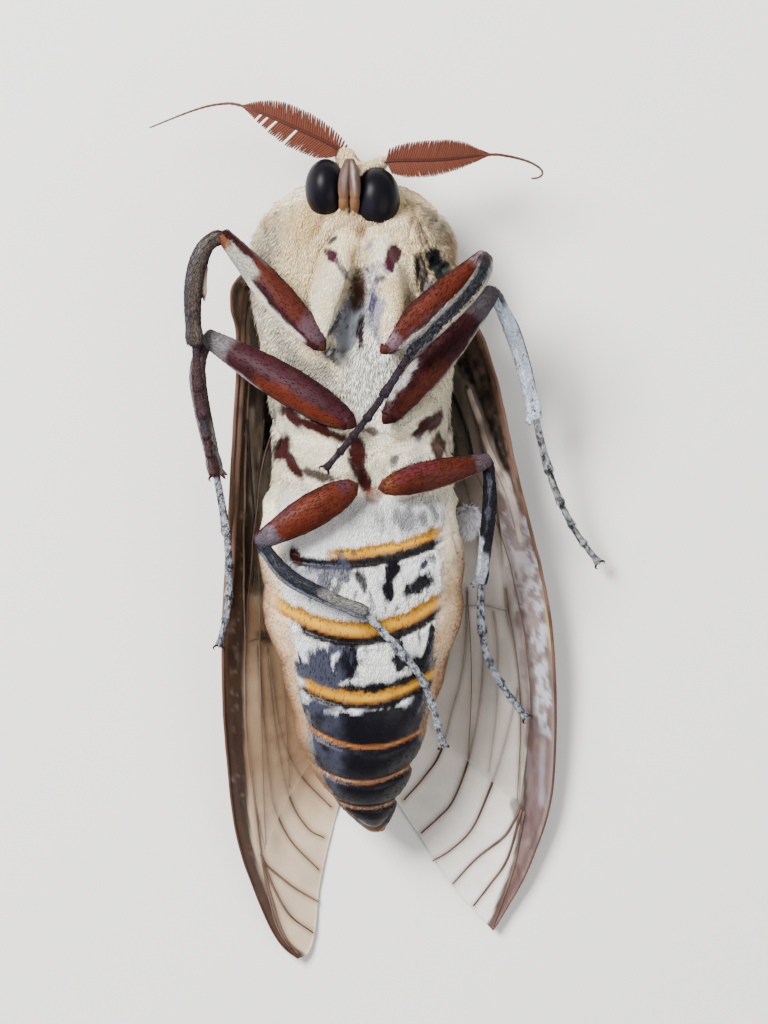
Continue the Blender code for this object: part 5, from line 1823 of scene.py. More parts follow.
@dataclass
class Leg:
    """One leg beyond the coxa: thigh, shin, five foot joints, spurs and claws."""

    name: str
    plan: LegPlan
    joints: tuple = (0.0, 0.36, 0.56, 0.72, 0.86, 1.0)
    foot_radius: float = 0.48
    thigh_profile: tuple = (
        (0.0, 0.08, 0.2, 0.4, 0.6, 0.8, 0.93, 1.0),
        (0.52, 0.76, 0.97, 1.08, 1.0, 0.77, 0.6, 0.5),
    )
    shin_profile: tuple = (
        (0.0, 0.05, 0.12, 0.3, 0.6, 0.85, 0.94, 1.0),
        (0.6, 0.86, 0.84, 1.04, 0.98, 0.86, 1.0, 0.88),
    )

    def build(self, shop: Workshop) -> None:
        """Makes the three hard pieces, each with its scales."""
        self._piece(shop, "thigh", self._thigh(), THIGH, f"{self.name}_femur", 1500, 0.55)
        self._piece(shop, "shin", self._shin(), SHIN, f"{self.name}_tibia", 2200, 0.55)
        self._piece(shop, "foot", self._foot(), FOOT, f"{self.name}_tarsus", 2200, 0.5)

    def _piece(
        self, shop: Workshop, word: str, shape: Shape, finish: Finish, node: str, locks: int,
        girth: float,
    ) -> None:
        """Makes one hard piece and the scales that lie on it."""
        base = shop.mesh_object(f"{self.name}_{word}", shape, finish)
        coat = Coat(
            f"{self.name}_{word}_scales", LEG_SCALES[finish.slot], locks, girth, stray=0.06,
            width=0.2, droop=0.05, tip_light=0.1,
        )
        line = self._line(word)
        scales = coat.grow(
            shop, base, shape.cover, lambda roots: self._scale_tints(roots, word),
            lambda roots: self._map(roots, line),
        )
        shop.finish(scales, finish.slot)
        shop.finish(base, finish.slot, node)

    def _line(self, word: str) -> np.ndarray:
        """The middle line of one of the leg's pieces."""
        plan = self.plan
        if word == "thigh":
            bow = np.sin(np.linspace(0, math.pi, 60))[:, None] * np.array((0.0, 0.0, 0.25))
            return smooth_line((plan.hip, plan.knee), 60) + bow
        if word == "shin":
            return smooth_line((plan.knee, *plan.shin, plan.ankle), 60)
        return smooth_line((plan.ankle, *plan.foot, plan.toe), 60)

    def _turned(self, points: np.ndarray, line: np.ndarray) -> tuple[np.ndarray, np.ndarray]:
        """Each point's turn about a line, in degrees, and its place along it."""
        _, share = path_distance(points, line)
        at = np.clip((share * (len(line) - 1)).astype(int), 0, len(line) - 2)
        along = unit(line[at + 1] - line[at])
        across = unit(np.cross(along, (0.0, 0.0, 1.0)))
        out = points - line[at]
        turn = np.arctan2((out * np.cross(along, across)).sum(1), (out * across).sum(1))
        return np.degrees(turn) % 360, share

    def _map(self, roots: np.ndarray, line: np.ndarray) -> np.ndarray:
        """A limb unrolled about its own line."""
        turn, share = self._turned(roots, line)
        return np.column_stack([turn / 360, share])

    def _tints(self, word: str, points: np.ndarray, turn: np.ndarray, along: np.ndarray) -> np.ndarray:
        """The colours of thigh or shin: the plan's own tint under its streaks."""
        plan = self.plan
        tint = plan.thigh_tint if word == "thigh" else plan.shin_tint
        streaks = plan.thigh_streaks if word == "thigh" else plan.shin_streaks
        colours = np.tile(tint, (len(points), 1))
        grain = noise(points, 1.6, 84, 3)
        colours = colours * (1 + 0.28 * grain[:, None])
        for streak in streaks:
            colours = blend(colours, streak.colour, streak.mask(points, turn, along))
        if word == "shin":
            colours = blend(colours, KNEE_CAP, ease(along, 0.045, 0.015) * 0.9)
        return colours

    def _thigh(self) -> Shape:
        """The femur, a flattened spindle with two keels, and the trochanter at its root."""
        plan = self.plan
        line = self._line("thigh")
        widths = plan.thigh_radius * np.interp(np.linspace(0, 1, 60), *self.thigh_profile)
        thigh = limb(
            line, widths, widths * 0.8, 36, 0.7,
            lambda turn: 1 + 0.07 * np.abs(np.cos(turn)) ** 8 - 0.05 * np.sin(turn) ** 4,
        )
        dents = 0.05 * noise(thigh.points, 1.5, 80, 3) + 0.025 * noise(thigh.points, 0.5, 81, 2)
        thigh.points[:, 2] += dents
        thigh.tints = self._tints("thigh", thigh.points, np.degrees(thigh.turn), thigh.along)
        pale = ease(thigh.tints.max(axis=1), 0.2, 0.4)
        thigh.cover = 0.25 + 0.75 * np.maximum(pale, ease(thigh.along, 0.8, 0.95))
        thigh.reach = np.full(len(thigh.points), 0.38)
        thigh.lift = np.full(len(thigh.points), 0.1)
        root = np.array(plan.hip)
        step = line[4] - line[0]
        girth = np.array((0.4, 0.75, 0.9, 0.8)) * plan.thigh_radius * 0.56
        knob = limb(
            np.array([root + step * s for s in (-0.5, -0.2, 0.3, 0.8)]), girth, girth * 0.9, 20, 0.8
        )
        tone = noise(knob.points, 1.2, 82, 3)
        knob.tints = np.tile(plan.thigh_tint, (len(knob.points), 1))
        knob.tints = blend(knob.tints, KNOB_BROWN, ease(tone, -0.5, 0.3))
        return joined([thigh, knob])

    def _shin(self) -> Shape:
        """The tibia, ridged lengthwise, with its spurs or its flap."""
        plan = self.plan
        line = self._line("shin")
        widths = plan.shin_radius * np.interp(np.linspace(0, 1, 60), *self.shin_profile)
        shin = limb(line, widths, widths * 0.82, 26, 0.7, lambda turn: 1 + 0.06 * np.cos(3 * turn + 1.2))
        shin.points[:, 2] += 0.03 * noise(shin.points, 0.8, 88, 3)
        shin.tints = self._tints("shin", shin.points, np.degrees(shin.turn), shin.along)
        shin.cover = np.ones(len(shin.points))
        shin.reach = np.full(len(shin.points), 0.42)
        shin.lift = np.full(len(shin.points), 0.1)
        extras = self._flap(line) if plan.flap else self._spurs(line)
        return joined([shin, *extras])

    def _inward(self, line: np.ndarray, at: int) -> np.ndarray:
        """The direction from the shin towards the body, level and square to the shin."""
        across = unit(np.cross(unit(line[at] - line[max(at - 2, 0)]), (0.0, 0.0, 1.0)))
        return across * -np.sign((line[at][0] - MIDLINE) * across[0])

    def _spurs(self, line: np.ndarray) -> list[Shape]:
        """The short blunt spurs, all on the inner side."""
        shapes = []
        for place, count in self.plan.spurs:
            at = min(int(place * (len(line) - 1)), len(line) - 1)
            along = unit(line[at] - line[max(at - 2, 0)])
            inward = self._inward(line, at)
            start = line[at] - along * 0.5 + inward * (self.plan.shin_radius * 0.45)
            for number in range(count):
                out = unit(along + inward * (0.3 + 0.45 * number))
                t = np.linspace(0, 1, 10)[:, None]
                path = start + out * (1.35 - 0.2 * number) * t + inward * 0.12 * t * t
                girth = 0.27 * np.interp(t[:, 0], (0, 0.55, 0.85, 1), (1.0, 0.9, 0.55, 0.16))
                spur = limb(path, girth, girth * 0.85, 10, 0.5)
                tint = self._tints("shin", spur.points, 0 * spur.along + 345, 0 * spur.along + 0.96)
                spur.tints = blend(tint, SPUR_TIP, ease(spur.along, 0.72, 0.92) * 0.9)
                shapes.append(spur)
        return shapes

    def _flap(self, line: np.ndarray) -> list[Shape]:
        """The thin leaf on the inner side of a fore shin, free at its far end."""
        start, end = 16, 38
        t = np.linspace(0, 1, end - start)
        inward = self._inward(line, 26)
        away = self.plan.shin_radius * (0.55 + 0.75 * t)
        path = line[start:end] + inward * away[:, None]
        wide = 0.5 * np.interp(t, (0, 0.25, 0.8, 1), (0.35, 1.0, 0.8, 0.15))
        leaf = limb(path, wide, wide * 0.35, 14, 0.4)
        leaf.tints = np.tile(LEAF_TAN, (len(leaf.points), 1))
        leaf.tints = blend(leaf.tints, LEAF_BROWN, ease(noise(leaf.points, 0.7, 89, 3), 0.2, 0.8))
        leaf.tints = blend(leaf.tints, EDGE_DARK, ease(leaf.along, 0.18, 0.02))
        return [leaf]

    def _foot(self) -> Shape:
        """Five joints, each flared at its far end, and the pair of claws."""
        line = self._line("foot")
        dense = smooth_line(line[[0, 15, 30, 45, 59]], 201)
        shapes = []
        for number, (start, end) in enumerate(zip(self.joints, self.joints[1:])):
            places = np.linspace(start + 0.004, end - 0.006, 14) * 200
            path = np.column_stack([np.interp(places, np.arange(201), axis) for axis in dense.T])
            t = np.linspace(0, 1, 14)
            radius = self.foot_radius * (1 - 0.05 * number)
            radii = radius * np.interp(t, (0, 0.15, 0.7, 0.92, 1), (0.62, 0.78, 0.86, 1.1, 0.9))
            joint = limb(path, radii, radii * 0.88, 18, 0.6)
            joint.reach = np.full(len(joint.points), 0.36)
            joint.lift = 0.1 + 0.25 * ease(joint.along, 0.75, 1.0)
            joint.cover = np.ones(len(joint.points))
            ring = ease(joint.along, 0.86, 0.97) + ease(joint.along, 0.1, 0.02)
            joint.tints = blend(self._foot_tints(joint.points), JOINT_RING, ring * 0.8)
            shapes.append(joint)
        return joined([*shapes, *self._claws(dense)])

    def _foot_tints(self, points: np.ndarray) -> np.ndarray:
        """The foot's pale scales, with clouds of slate."""
        colours = np.tile(self.plan.foot_tint, (len(points), 1))
        return blend(colours, SLATE, ease(noise(points, 1.0, 92, 3), 0.15, 0.7) * 0.6)

    def _claws(self, line: np.ndarray) -> list[Shape]:
        """Two hooked claws, spread to the sides."""
        along = unit(line[-1] - line[-6])
        across = unit(np.cross(along, (0.0, 0.0, 1.0)))
        down = np.cross(across, along)
        down = -down * np.sign(down[2])
        t = np.linspace(0, 1, 12)[:, None]
        shapes = []
        for side in (-1, 1):
            path = line[-1] + along * (0.85 * t - 0.15) + across * side * (0.62 * np.sin(t * 2.5))
            path = path + down * 0.4 * t * t
            girth = 0.17 * np.interp(t[:, 0], (0, 0.4, 1), (1.0, 0.8, 0.15))
            claw = limb(path, girth, girth, 9, 0.5)
            claw.tints = np.tile(CLAW_BROWN, (len(claw.points), 1))
            shapes.append(claw)
        return shapes

    def _scale_tints(self, roots: np.ndarray, word: str) -> np.ndarray:
        """The scales' colours: those beneath them, with pale and dark ones mixed in."""
        speck = self.plan.shin_speck if word == "shin" else self.plan.speck
        grain = noise(roots, 0.34, 95, 2)
        if word == "foot":
            colours = self._foot_tints(roots)
        else:
            colours = self._tints(word, roots, *self._turned(roots, self._line(word)))
        if word == "thigh":
            return blend(colours, THIGH_SCALE, ease(grain, 0.6, 0.85) * 0.25)
        colours = blend(colours, SOOT, ease(grain, 0.66 - speck, 0.82 - speck) * 0.85)
        pale = ease(-grain, 0.8 - speck, 0.95 - speck) * 0.6 * (speck > 0.2)
        return blend(colours, WHITE_SCALE, pale)


@dataclass
class Stripe:
    """A streak of colour along a path over a wing, as seen from above: a marking, or painted shade in a
    gap.
    """

    path: tuple
    width: float
    colour: tuple
    strength: float = 1.0
    rag: float = 0.3
    grain: float = 0.0


@dataclass
class FoldPlan:
    """How one side's folded wings lie, and what is drawn on them."""

    side: Side
    costa: tuple
    costa_height: tuple
    tip: tuple
    termen: tuple
    tornus: tuple
    inner: tuple
    root: tuple
    hind_costa: tuple
    hind_tip: tuple
    hind_termen: tuple
    hind_tornus: tuple
    hind_inner: tuple
    hind_root: tuple
    flat_reach: float
    strip: tuple
    strip_tones: tuple
    veins: tuple
    hind_veins: tuple
    ribs: tuple
    stripes: tuple
    base_tint: tuple
    cloud_tint: tuple
    outer_tint: tuple
    outer_share: float
    inward_share: float
    root_shade: tuple


DARK_MARK_AND_GAP_SHADE = (0.007, 0.005, 0.004)
PINK_TAN = (0.24, 0.12, 0.072)
INNER_BROWN_AND_SHADE = (0.34, 0.19, 0.095)
ROOT_BROWN_AND_SHADE = (0.15, 0.1, 0.066)
BESIDE_VEIN = (0.2, 0.12, 0.08)
STRIP_GREY = (0.22, 0.165, 0.135)
STRIP_EDGE = (0.03, 0.02, 0.016)
COSTA_LINE = (0.05, 0.024, 0.018)
COSTA_BROWN = (0.15, 0.082, 0.056)
COSTA_DARK = (0.06, 0.027, 0.02)
VEIN_BROWN = (0.125, 0.078, 0.054)
VEIN_DARK = (0.03, 0.018, 0.014)
BARK = (0.26, 0.225, 0.19)
BARK_CLOUD = (0.13, 0.1, 0.08)
BARK_WAVE = (0.035, 0.026, 0.021)
RIB_BLACK = (0.01, 0.007, 0.006)
ROLL_BROWN = (0.135, 0.078, 0.056)
FOLDS = (
    FoldPlan(
        side=Side.RIGHT,
        costa=(
            (-13.4, 30.8), (-16.5, 28.4), (-16.9, 25.4), (-16.2, 20.2), (-17.4, -1.0), (-18.0, -16.0),
            (-16.7, -32.8),
            (-14.2, -41.4), (-11.6, -46.9),
        ),
        costa_height=(
            (30.4, 9.6), (26.0, 8.0), (12.9, 8.2), (-1.8, 7.4),
            (-22.6, 5.4), (-41.2, 2.4), (-49.0, 0.9),
        ),
        tip=(-9.5, -48.75),
        termen=((-8.3, -48.1), (-7.5, -45.6), (-6.7, -39.0)),
        tornus=(-3.6, -27.0),
        inner=((-2.8, 6.0), (-2.8, -10.0)),
        root=(-3.4, 17.4),
        hind_costa=((-11.0, 16.4), (-14.2, 8.0), (-15.9, -10.0), (-15.8, -24.0)),
        hind_tip=(-13.7, -36.0),
        hind_termen=((-11.0, -30.1), (-7.6, -25.0)),
        hind_tornus=(-3.8, -19.0),
        hind_inner=((-3.3, 1.0), (-3.2, -9.0)),
        hind_root=(-3.8, 8.0),
        flat_reach=4.0,
        strip=(2.2, 2.2, 2.4, 1.9, 0.7),
        strip_tones=(
            (0.2, 0.13, 0.08), (0.045, 0.026, 0.017), (0.046, 0.025, 0.015), (0.034, 0.018, 0.011),
            (0.06, 0.03, 0.016),
        ),
        veins=(
            (
                (-15.1, 18.0), (-15.7, 1.0), (-15.6, -12.0), (-15.5, -21.0), (-14.7, -28.5),
                (-13.8, -36.0), (-13.1, -40.5), (-11.9, -45.0), (-10.4, -47.6),
            ),
            ((-13.6, 12.0), (-14.2, 0.0), (-13.4, -11.8)),
            ((-14.4, -12.6), (-13.8, -18.0), (-12.8, -28.5), (-11.9, -32.1), (-10.2, -35.4), (-7.1, -38.6)),
            ((-13.2, -12.9), (-12.5, -19.8), (-11.4, -27.0), (-10.1, -31.2), (-8.3, -33.9), (-6.5, -34.9)),
            ((-12.9, -13.9), (-11.7, -22.2), (-10.4, -25.8), (-8.6, -28.5), (-5.6, -31.4)),
            ((-13.8, -36.6), (-13.2, -37.8), (-11.9, -39.0), (-9.8, -40.7), (-7.1, -42.3)),
            ((-13.7, -37.0), (-12.2, -40.8), (-10.4, -43.8), (-7.8, -45.8)),
            ((-13.6, -37.4), (-12.5, -42.0), (-11.0, -46.2), (-9.5, -48.3)),
            ((-11.9, -12.4), (-10.2, -20.0), (-7.6, -25.4), (-4.6, -28.9)),
            ((-15.6, -12.3), (-13.2, -11.7), (-10.0, -12.0)),
        ),
        hind_veins=(
            ((-14.6, -8.0), (-14.3, -22.0), (-13.6, -35.5)),
            ((-12.2, -6.0), (-11.6, -18.0), (-10.9, -29.0)),
        ),
        ribs=(
            (((-15.4, 13.0), (-15.0, 6.0), (-14.75, 0.5), (-14.9, -6.0)), 0.15, 0.42, RIB_BLACK),
            (((-13.6, 13.0), (-14.2, 5.0), (-14.75, 0.5)), 0.15, 0.42, RIB_BLACK),
            (
                ((-15.2, 28.0), (-15.7, 23.5), (-15.8, 18.0), (-16.5, 5.0), (-17.2, -8.0)),
                0.52, 0.0, ROLL_BROWN,
            ),
        ),
        stripes=(
            Stripe(
                ((-15.0, 29.6), (-15.3, 26.0), (-15.6, 20.0)), 1.1, (0.33, 0.215, 0.135), 0.9, 0.6, 0.35
            ),
            Stripe(
                ((-16.2, 28.4), (-16.7, 26.0), (-16.4, 23.8)), 0.45, (0.03, 0.022, 0.022), 0.9, 0.5, 0.3
            ),
            # Painted shade with some dark hair: dark brown, then near black in the next two, in the gap
            # between the folds and the body.
            Stripe(
                ((-14.0, 24.0), (-14.0, 20.0), (-14.2, 10.0), (-14.5, -6.0)),
                1.0, (0.05, 0.036, 0.028), 0.9, 0.5, 0.3
            ),
            Stripe(((-12.7, 19.0), (-12.7, 12.0), (-12.4, 5.0), (-12.5, -2.0)), 0.75, DARK_MARK_AND_GAP_SHADE, 0.97, 0.4),
            Stripe(((-12.7, -8.0), (-12.4, -11.0)), 0.5, DARK_MARK_AND_GAP_SHADE, 0.9, 0.6),
            Stripe(((-14.7, 14.0), (-14.7, 6.0), (-14.3, 1.0)), 0.32, (0.26, 0.21, 0.15), 0.85),
            Stripe(((-13.6, 9.0), (-13.5, 2.0), (-13.7, -9.0)), 0.45, (0.24, 0.19, 0.13), 0.85, 0.4),
            Stripe(((-13.8, -11.5), (-13.2, -12.0)), 0.6, DARK_MARK_AND_GAP_SHADE, 0.8),
        ),
        base_tint=(0.37, 0.215, 0.105),
        cloud_tint=(0.5, 0.325, 0.185),
        outer_tint=(0.78, 0.66, 0.5),
        outer_share=0.5, inward_share=0.6, root_shade=(-8.0, 5.0),
    ),
    FoldPlan(
        side=Side.LEFT,
        costa=(
            (7.4, 28.4), (12.2, 21.4), (15.9, 6.1), (19.6, -10.5), (19.9, -28.0), (17.4, -37.5),
            (14.2, -43.6),
        ),
        costa_height=((28.4, 8.8), (15.2, 7.0), (6.1, 5.4), (-6.4, 4.0), (-23.6, 2.6), (-45.2, 0.9)),
        tip=(13.0, -45.5),
        termen=((11.6, -44.0), (8.3, -40.3), (4.5, -34.6)),
        tornus=(-0.6, -27.0),
        inner=((-1.7, 6.0), (-1.8, -10.0)),
        root=(-1.1, 17.4),
        hind_costa=((6.6, 16.4), (10.9, 9.0), (15.4, -3.5), (17.5, -18.0)),
        hind_tip=(16.3, -31.0),
        hind_termen=((9.3, -25.2), (4.6, -21.0)),
        hind_tornus=(-0.4, -17.0),
        hind_inner=((-1.2, 1.0), (-1.3, -9.0)),
        hind_root=(-0.7, 8.0),
        flat_reach=7.0,
        strip=(2.2, 3.2, 4.6, 3.6, 0.9),
        strip_tones=(
            (0.1, 0.07, 0.055), (0.095, 0.066, 0.055), (0.165, 0.115, 0.098), (0.205, 0.15, 0.145),
            (0.1, 0.045, 0.036),
        ),
        veins=(
            ((10.2, 17.0), (13.4, 4.0), (14.7, -9.0), (15.7, -12.9), (16.2, -18.0), (16.1, -31.6)),
            ((9.2, 9.0), (11.4, 0.0), (11.9, -8.2)),
            ((13.2, -8.8), (13.6, -13.0), (13.5, -19.8), (12.6, -27.3)),
            (
                (11.8, -8.4), (12.0, -13.8), (11.5, -19.8), (10.3, -25.8),
                (8.5, -30.6), (6.7, -32.7), (4.8, -34.4),
            ),
            (
                (16.0, -17.6), (15.1, -21.3), (13.9, -25.8), (12.4, -30.0),
                (10.6, -33.9), (8.2, -36.3), (6.1, -37.6),
            ),
            ((16.2, -31.2), (15.4, -33.0), (14.2, -34.8), (11.2, -37.2), (8.4, -40.2)),
            ((16.3, -31.6), (14.7, -37.2), (12.7, -40.2), (10.8, -42.7)),
            ((16.6, -31.8), (15.6, -37.5), (14.2, -42.0), (13.1, -45.0)),
            ((10.2, -6.6), (9.7, -15.0), (8.2, -21.0), (7.0, -25.2), (5.2, -27.9), (2.8, -30.6)),
            ((8.4, -8.6), (7.4, -16.0), (3.2, -24.0), (0.6, -28.4)),
            ((8.4, -8.4), (11.9, -8.2), (14.8, -8.8)),
        ),
        hind_veins=(
            ((14.9, -6.0), (16.4, -18.0), (16.0, -30.4)),
            ((10.4, -6.0), (10.8, -16.0), (10.4, -25.6)),
        ),
        ribs=(
            (((8.3, 17.0), (9.7, 13.8), (10.7, 10.5), (11.1, 8.0)), 0.19, 0.42, RIB_BLACK),
            (
                ((10.4, 16.6), (11.5, 13.2), (12.4, 10.2), (14.05, 6.5), (15.0, 4.0), (16.2, -1.0)),
                0.5, 0.0, (0.42, 0.33, 0.28),
            ),
        ),
        stripes=(
            Stripe(((8.4, 17.0), (9.2, 13.0), (9.9, 8.5)), 1.1, (0.15, 0.125, 0.095), 0.9, 0.4),
            # Painted shade: this stripe and the next two are dark in the gaps beside the body and between
            # the folds.
            Stripe(((8.5, 11.2), (8.9, 8.8)), 0.4, DARK_MARK_AND_GAP_SHADE, 0.9, 0.3),
            Stripe(((9.0, 3.4), (9.0, -4.0)), 0.6, (0.035, 0.022, 0.015), 0.9, 0.4),
            Stripe(
                ((9.7, 19.6), (11.05, 16.5), (12.05, 13.2), (13.05, 10.5), (14.5, 7.5)),
                0.5, DARK_MARK_AND_GAP_SHADE, 0.95, 0.5, 0.3
            ),
            Stripe(((11.0, 21.0), (13.0, 14.0), (14.4, 9.0)), 0.55, DARK_MARK_AND_GAP_SHADE, 0.7, 0.5, 1.0),
            Stripe(
                ((10.4, 16.6), (11.5, 13.2), (12.4, 10.2), (14.05, 6.5)), 0.6, (0.26, 0.2, 0.165), 0.9, 0.3
            ),
            Stripe(((14.05, 6.5), (15.0, 4.0), (15.7, 1.5)), 0.65, (0.62, 0.55, 0.5), 0.9, 0.3, 0.3),
            Stripe(((13.0, 3.0), (14.5, -3.0)), 0.45, (0.62, 0.52, 0.43), 0.8, 0.3),
            Stripe(((15.4, 1.5), (16.6, -4.0), (17.4, -10.0)), 1.2, (0.32, 0.235, 0.225), 0.8, 0.7, 0.5),
            Stripe(
                ((15.4, 2.0), (17.6, -5.0), (18.4, -12.0), (18.6, -22.0)),
                1.1, (0.58, 0.57, 0.62), 0.8, 0.8, 0.9
            ),
            Stripe(((15.6, 0.0), (16.4, -9.0), (17.2, -17.0)), 0.7, (0.5, 0.45, 0.46), 0.6, 0.7, 0.9),
            Stripe(
                ((17.6, -22.0), (18.2, -28.0), (17.0, -34.0)), 0.9, (0.095, 0.052, 0.052), 0.75, 0.5, 0.3
            ),
            Stripe(((18.6, -24.0), (18.6, -31.0)), 0.3, (0.34, 0.32, 0.36), 0.6, 0.3, 0.3),
            Stripe(((19.5, -8.0), (19.8, -13.0)), 0.5, (0.46, 0.33, 0.14), 0.8),
            Stripe(((15.6, -31.0), (16.2, -32.6)), 0.7, DARK_MARK_AND_GAP_SHADE, 0.7),
            Stripe(((16.2, -9.0), (17.2, -16.0), (17.2, -24.0)), 0.4, (0.11, 0.06, 0.05), 0.8, 0.4),
        ),
        base_tint=(0.92, 0.82, 0.72),
        cloud_tint=(0.94, 0.87, 0.79),
        outer_tint=(0.86, 0.81, 0.75),
        outer_share=0.75, inward_share=0.05, root_shade=(-3.0, 7.0),
    ),
)


@dataclass
class Wing:
    """One wing of a folded pair: a thin membrane, its veins and its costal strip."""

    plan: FoldPlan
    hind: bool
    columns: int = 210
    rows: int = 80
    thickness: float = 0.16
    vein_radius: float = 0.155

    def build(self, shop: Workshop) -> None:
        """Makes the membrane and the veins."""
        word = "hindwing" if self.hind else "forewing"
        name = f"{word}_{self.plan.side.word}"
        finish = CLEAR_MEMBRANE if self.hind else MEMBRANE
        base = shop.mesh_object(f"{name}_membrane", self._membrane(), finish)
        shop.finish(base, Slot.WING, name)
        shop.finish(shop.mesh_object(f"{name}_veins", self._veins(), VEIN), Slot.WING)

    def _edges(self) -> tuple:
        """The four margins of this wing, seen from above."""
        plan = self.plan
        if self.hind:
            return (
                plan.hind_costa, plan.hind_tip, plan.hind_termen, plan.hind_tornus,
                plan.hind_inner, plan.hind_root,
            )
        return plan.costa, plan.tip, plan.termen, plan.tornus, plan.inner, plan.root

    def _height(self, x: np.ndarray, y: np.ndarray) -> np.ndarray:
        """How high the folded wings' underside lies over the floor."""
        plan = self.plan
        edge = np.array(sorted((py, px) for px, py in (*plan.costa, plan.tip)))
        rise = np.array(sorted(plan.costa_height))
        costa_x = np.interp(y, edge[:, 0], edge[:, 1])
        costa_z = np.interp(y, rise[:, 0], rise[:, 1])
        room = np.maximum(np.abs(costa_x - MIDLINE) - plan.flat_reach, 1.0)
        share = (np.abs(x - MIDLINE) - plan.flat_reach) / room
        return costa_z * np.clip(share, 0.0, 1.15) ** 1.45

    def _relief(self, flat: np.ndarray) -> np.ndarray:
        """The membrane's own waves and, near the root, its lengthwise folds."""
        points = np.column_stack([flat, np.zeros(len(flat))])
        folds = noise(points * (1.0, 0.12, 1.0), 1.1, 106, 3) * ease(flat[:, 1], 2.0, 18.0)
        return 0.1 * noise(points, 3.0, 100, 2) + 0.16 * folds

    def _placed(self, places: np.ndarray, above: float | np.ndarray) -> tuple[np.ndarray, np.ndarray]:
        """Places seen from above, put on the wing at a height over its middle.

        Args:
            places: X and Y, one place to a row.
            above: How far over the membrane's middle they go.

        Returns:
            The points, and the wing's normals there.
        """
        x, y, step = places[:, 0], places[:, 1], 0.5
        slope_x = (self._height(x + step, y) - self._height(x - step, y)) / (2 * step)
        slope_y = (self._height(x, y + step) - self._height(x, y - step)) / (2 * step)
        normal = unit(np.column_stack([-slope_x, -slope_y, np.ones(len(x))]))
        lift = above + 0.25 + (1.12 if self.hind else 0.0) + self._relief(places)
        return np.column_stack([x, y, self._height(x, y)]) + normal * lift[:, None], normal

    def _patch(self) -> np.ndarray:
        """Places over the whole wing, seen from above: columns from root to tip, rows across."""
        costa, tip, termen, tornus, inner, root = self._edges()
        lead = smooth_line((*costa, tip), self.columns)
        trail = smooth_line((root, *inner, tornus), self.columns)
        outer = smooth_line((tip, *termen, tornus), self.rows)
        start = smooth_line((costa[0], root), self.rows)
        s = np.linspace(0, 1, self.columns)[:, None, None]
        t = np.linspace(0, 1, self.rows)[None, :, None]
        sides = (1 - t) * lead[:, None] + t * trail[:, None] + (1 - s) * start[None] + s * outer[None]
        corners = (1 - s) * ((1 - t) * lead[0] + t * trail[0]) + s * ((1 - t) * lead[-1] + t * trail[-1])
        return sides - corners

    def _membrane(self) -> Shape:
        """The membrane as a closed thin sheet."""
        flat = self._patch().reshape(-1, 2)
        near = np.full(len(flat), 9.0)
        for vein in self._vein_paths():
            near = np.minimum(near, path_distance(flat, smooth_line(vein, 40))[0])
        furrow = 0.1 * np.exp(-((near / 0.4) ** 2))
        middle, normal = self._placed(flat, furrow)
        top = middle + normal * (self.thickness / 2)
        low = middle - normal * (self.thickness / 2)
        low[:, 2] = np.maximum(low[:, 2], FLOOR_GAP)
        top[:, 2] = np.maximum(top[:, 2], FLOOR_GAP + self.thickness)
        count, rows = len(flat), self.rows
        faces = []
        for i in range(self.columns - 1):
            for j in range(rows - 1):
                a, b = i * rows + j, i * rows + j + 1
                quad = (a, b, b + rows, a + rows)
                faces += [quad, tuple(k + count for k in reversed(quad))]
        rim = [i * rows for i in range(self.columns)]
        rim += [(self.columns - 1) * rows + j for j in range(1, rows)]
        rim += [i * rows + rows - 1 for i in range(self.columns - 2, -1, -1)]
        rim += list(range(rows - 2, 0, -1))
        for a, b in zip(rim, rim[1:] + rim[:1]):
            faces.append((b, a, a + count, b + count))
        if self.plan.side is Side.LEFT:
            faces = [tuple(reversed(face)) for face in faces]
        tints = np.vstack([self._tints(flat, near), self._under_tints(low)])
        return Shape(np.vstack([top, low]), faces, tints=tints)

    def _tints(self, places: np.ndarray, near: np.ndarray) -> np.ndarray:
        """The colours of the side that shows from above."""
        plan = self.plan
        points = np.column_stack([places, np.zeros(len(places))])
        cloud = noise(points, 4.0, 101, 3)
        colours = np.tile(plan.base_tint, (len(places), 1))
        colours = blend(colours, plan.cloud_tint, ease(cloud, -0.4, 0.7))
        outer = ease(places[:, 1], -24.0, -36.0) * plan.outer_share
        colours = blend(colours, plan.outer_tint, outer)
        # Brown and painted shade towards the body, beside the abdomen.
        inward = ease(np.abs(places[:, 0] - MIDLINE), 13.0, 8.0) * ease(places[:, 1], -34.0, -22.0)
        colours = blend(colours, INNER_BROWN_AND_SHADE, inward * plan.inward_share)
        # Painted shade, with some dark hair, towards the wing's root beside the thorax.
        colours = blend(colours, ROOT_BROWN_AND_SHADE, ease(places[:, 1], *plan.root_shade) * 0.85)
        colours = blend(colours, BESIDE_VEIN, ease(near, 0.65, 0.12) * 0.5)
        if not self.hind:
            colours = self._with_strip(places, points, colours)
        grain = noise(points * (1, 0.5, 1), 0.42, 107, 3)
        for stripe in plan.stripes:
            off, _ = path_distance(places, smooth_line(stripe.path, 30))
            off = off + stripe.rag * noise(points * (1, 0.4, 1), 0.9, 105, 3)
            share = ease(off, stripe.width + 0.25, stripe.width - 0.25) * stripe.strength
            share = share * (1 - stripe.grain * ease(grain, 0.25, -0.25))
            colours = blend(colours, stripe.colour, share)
        return colours

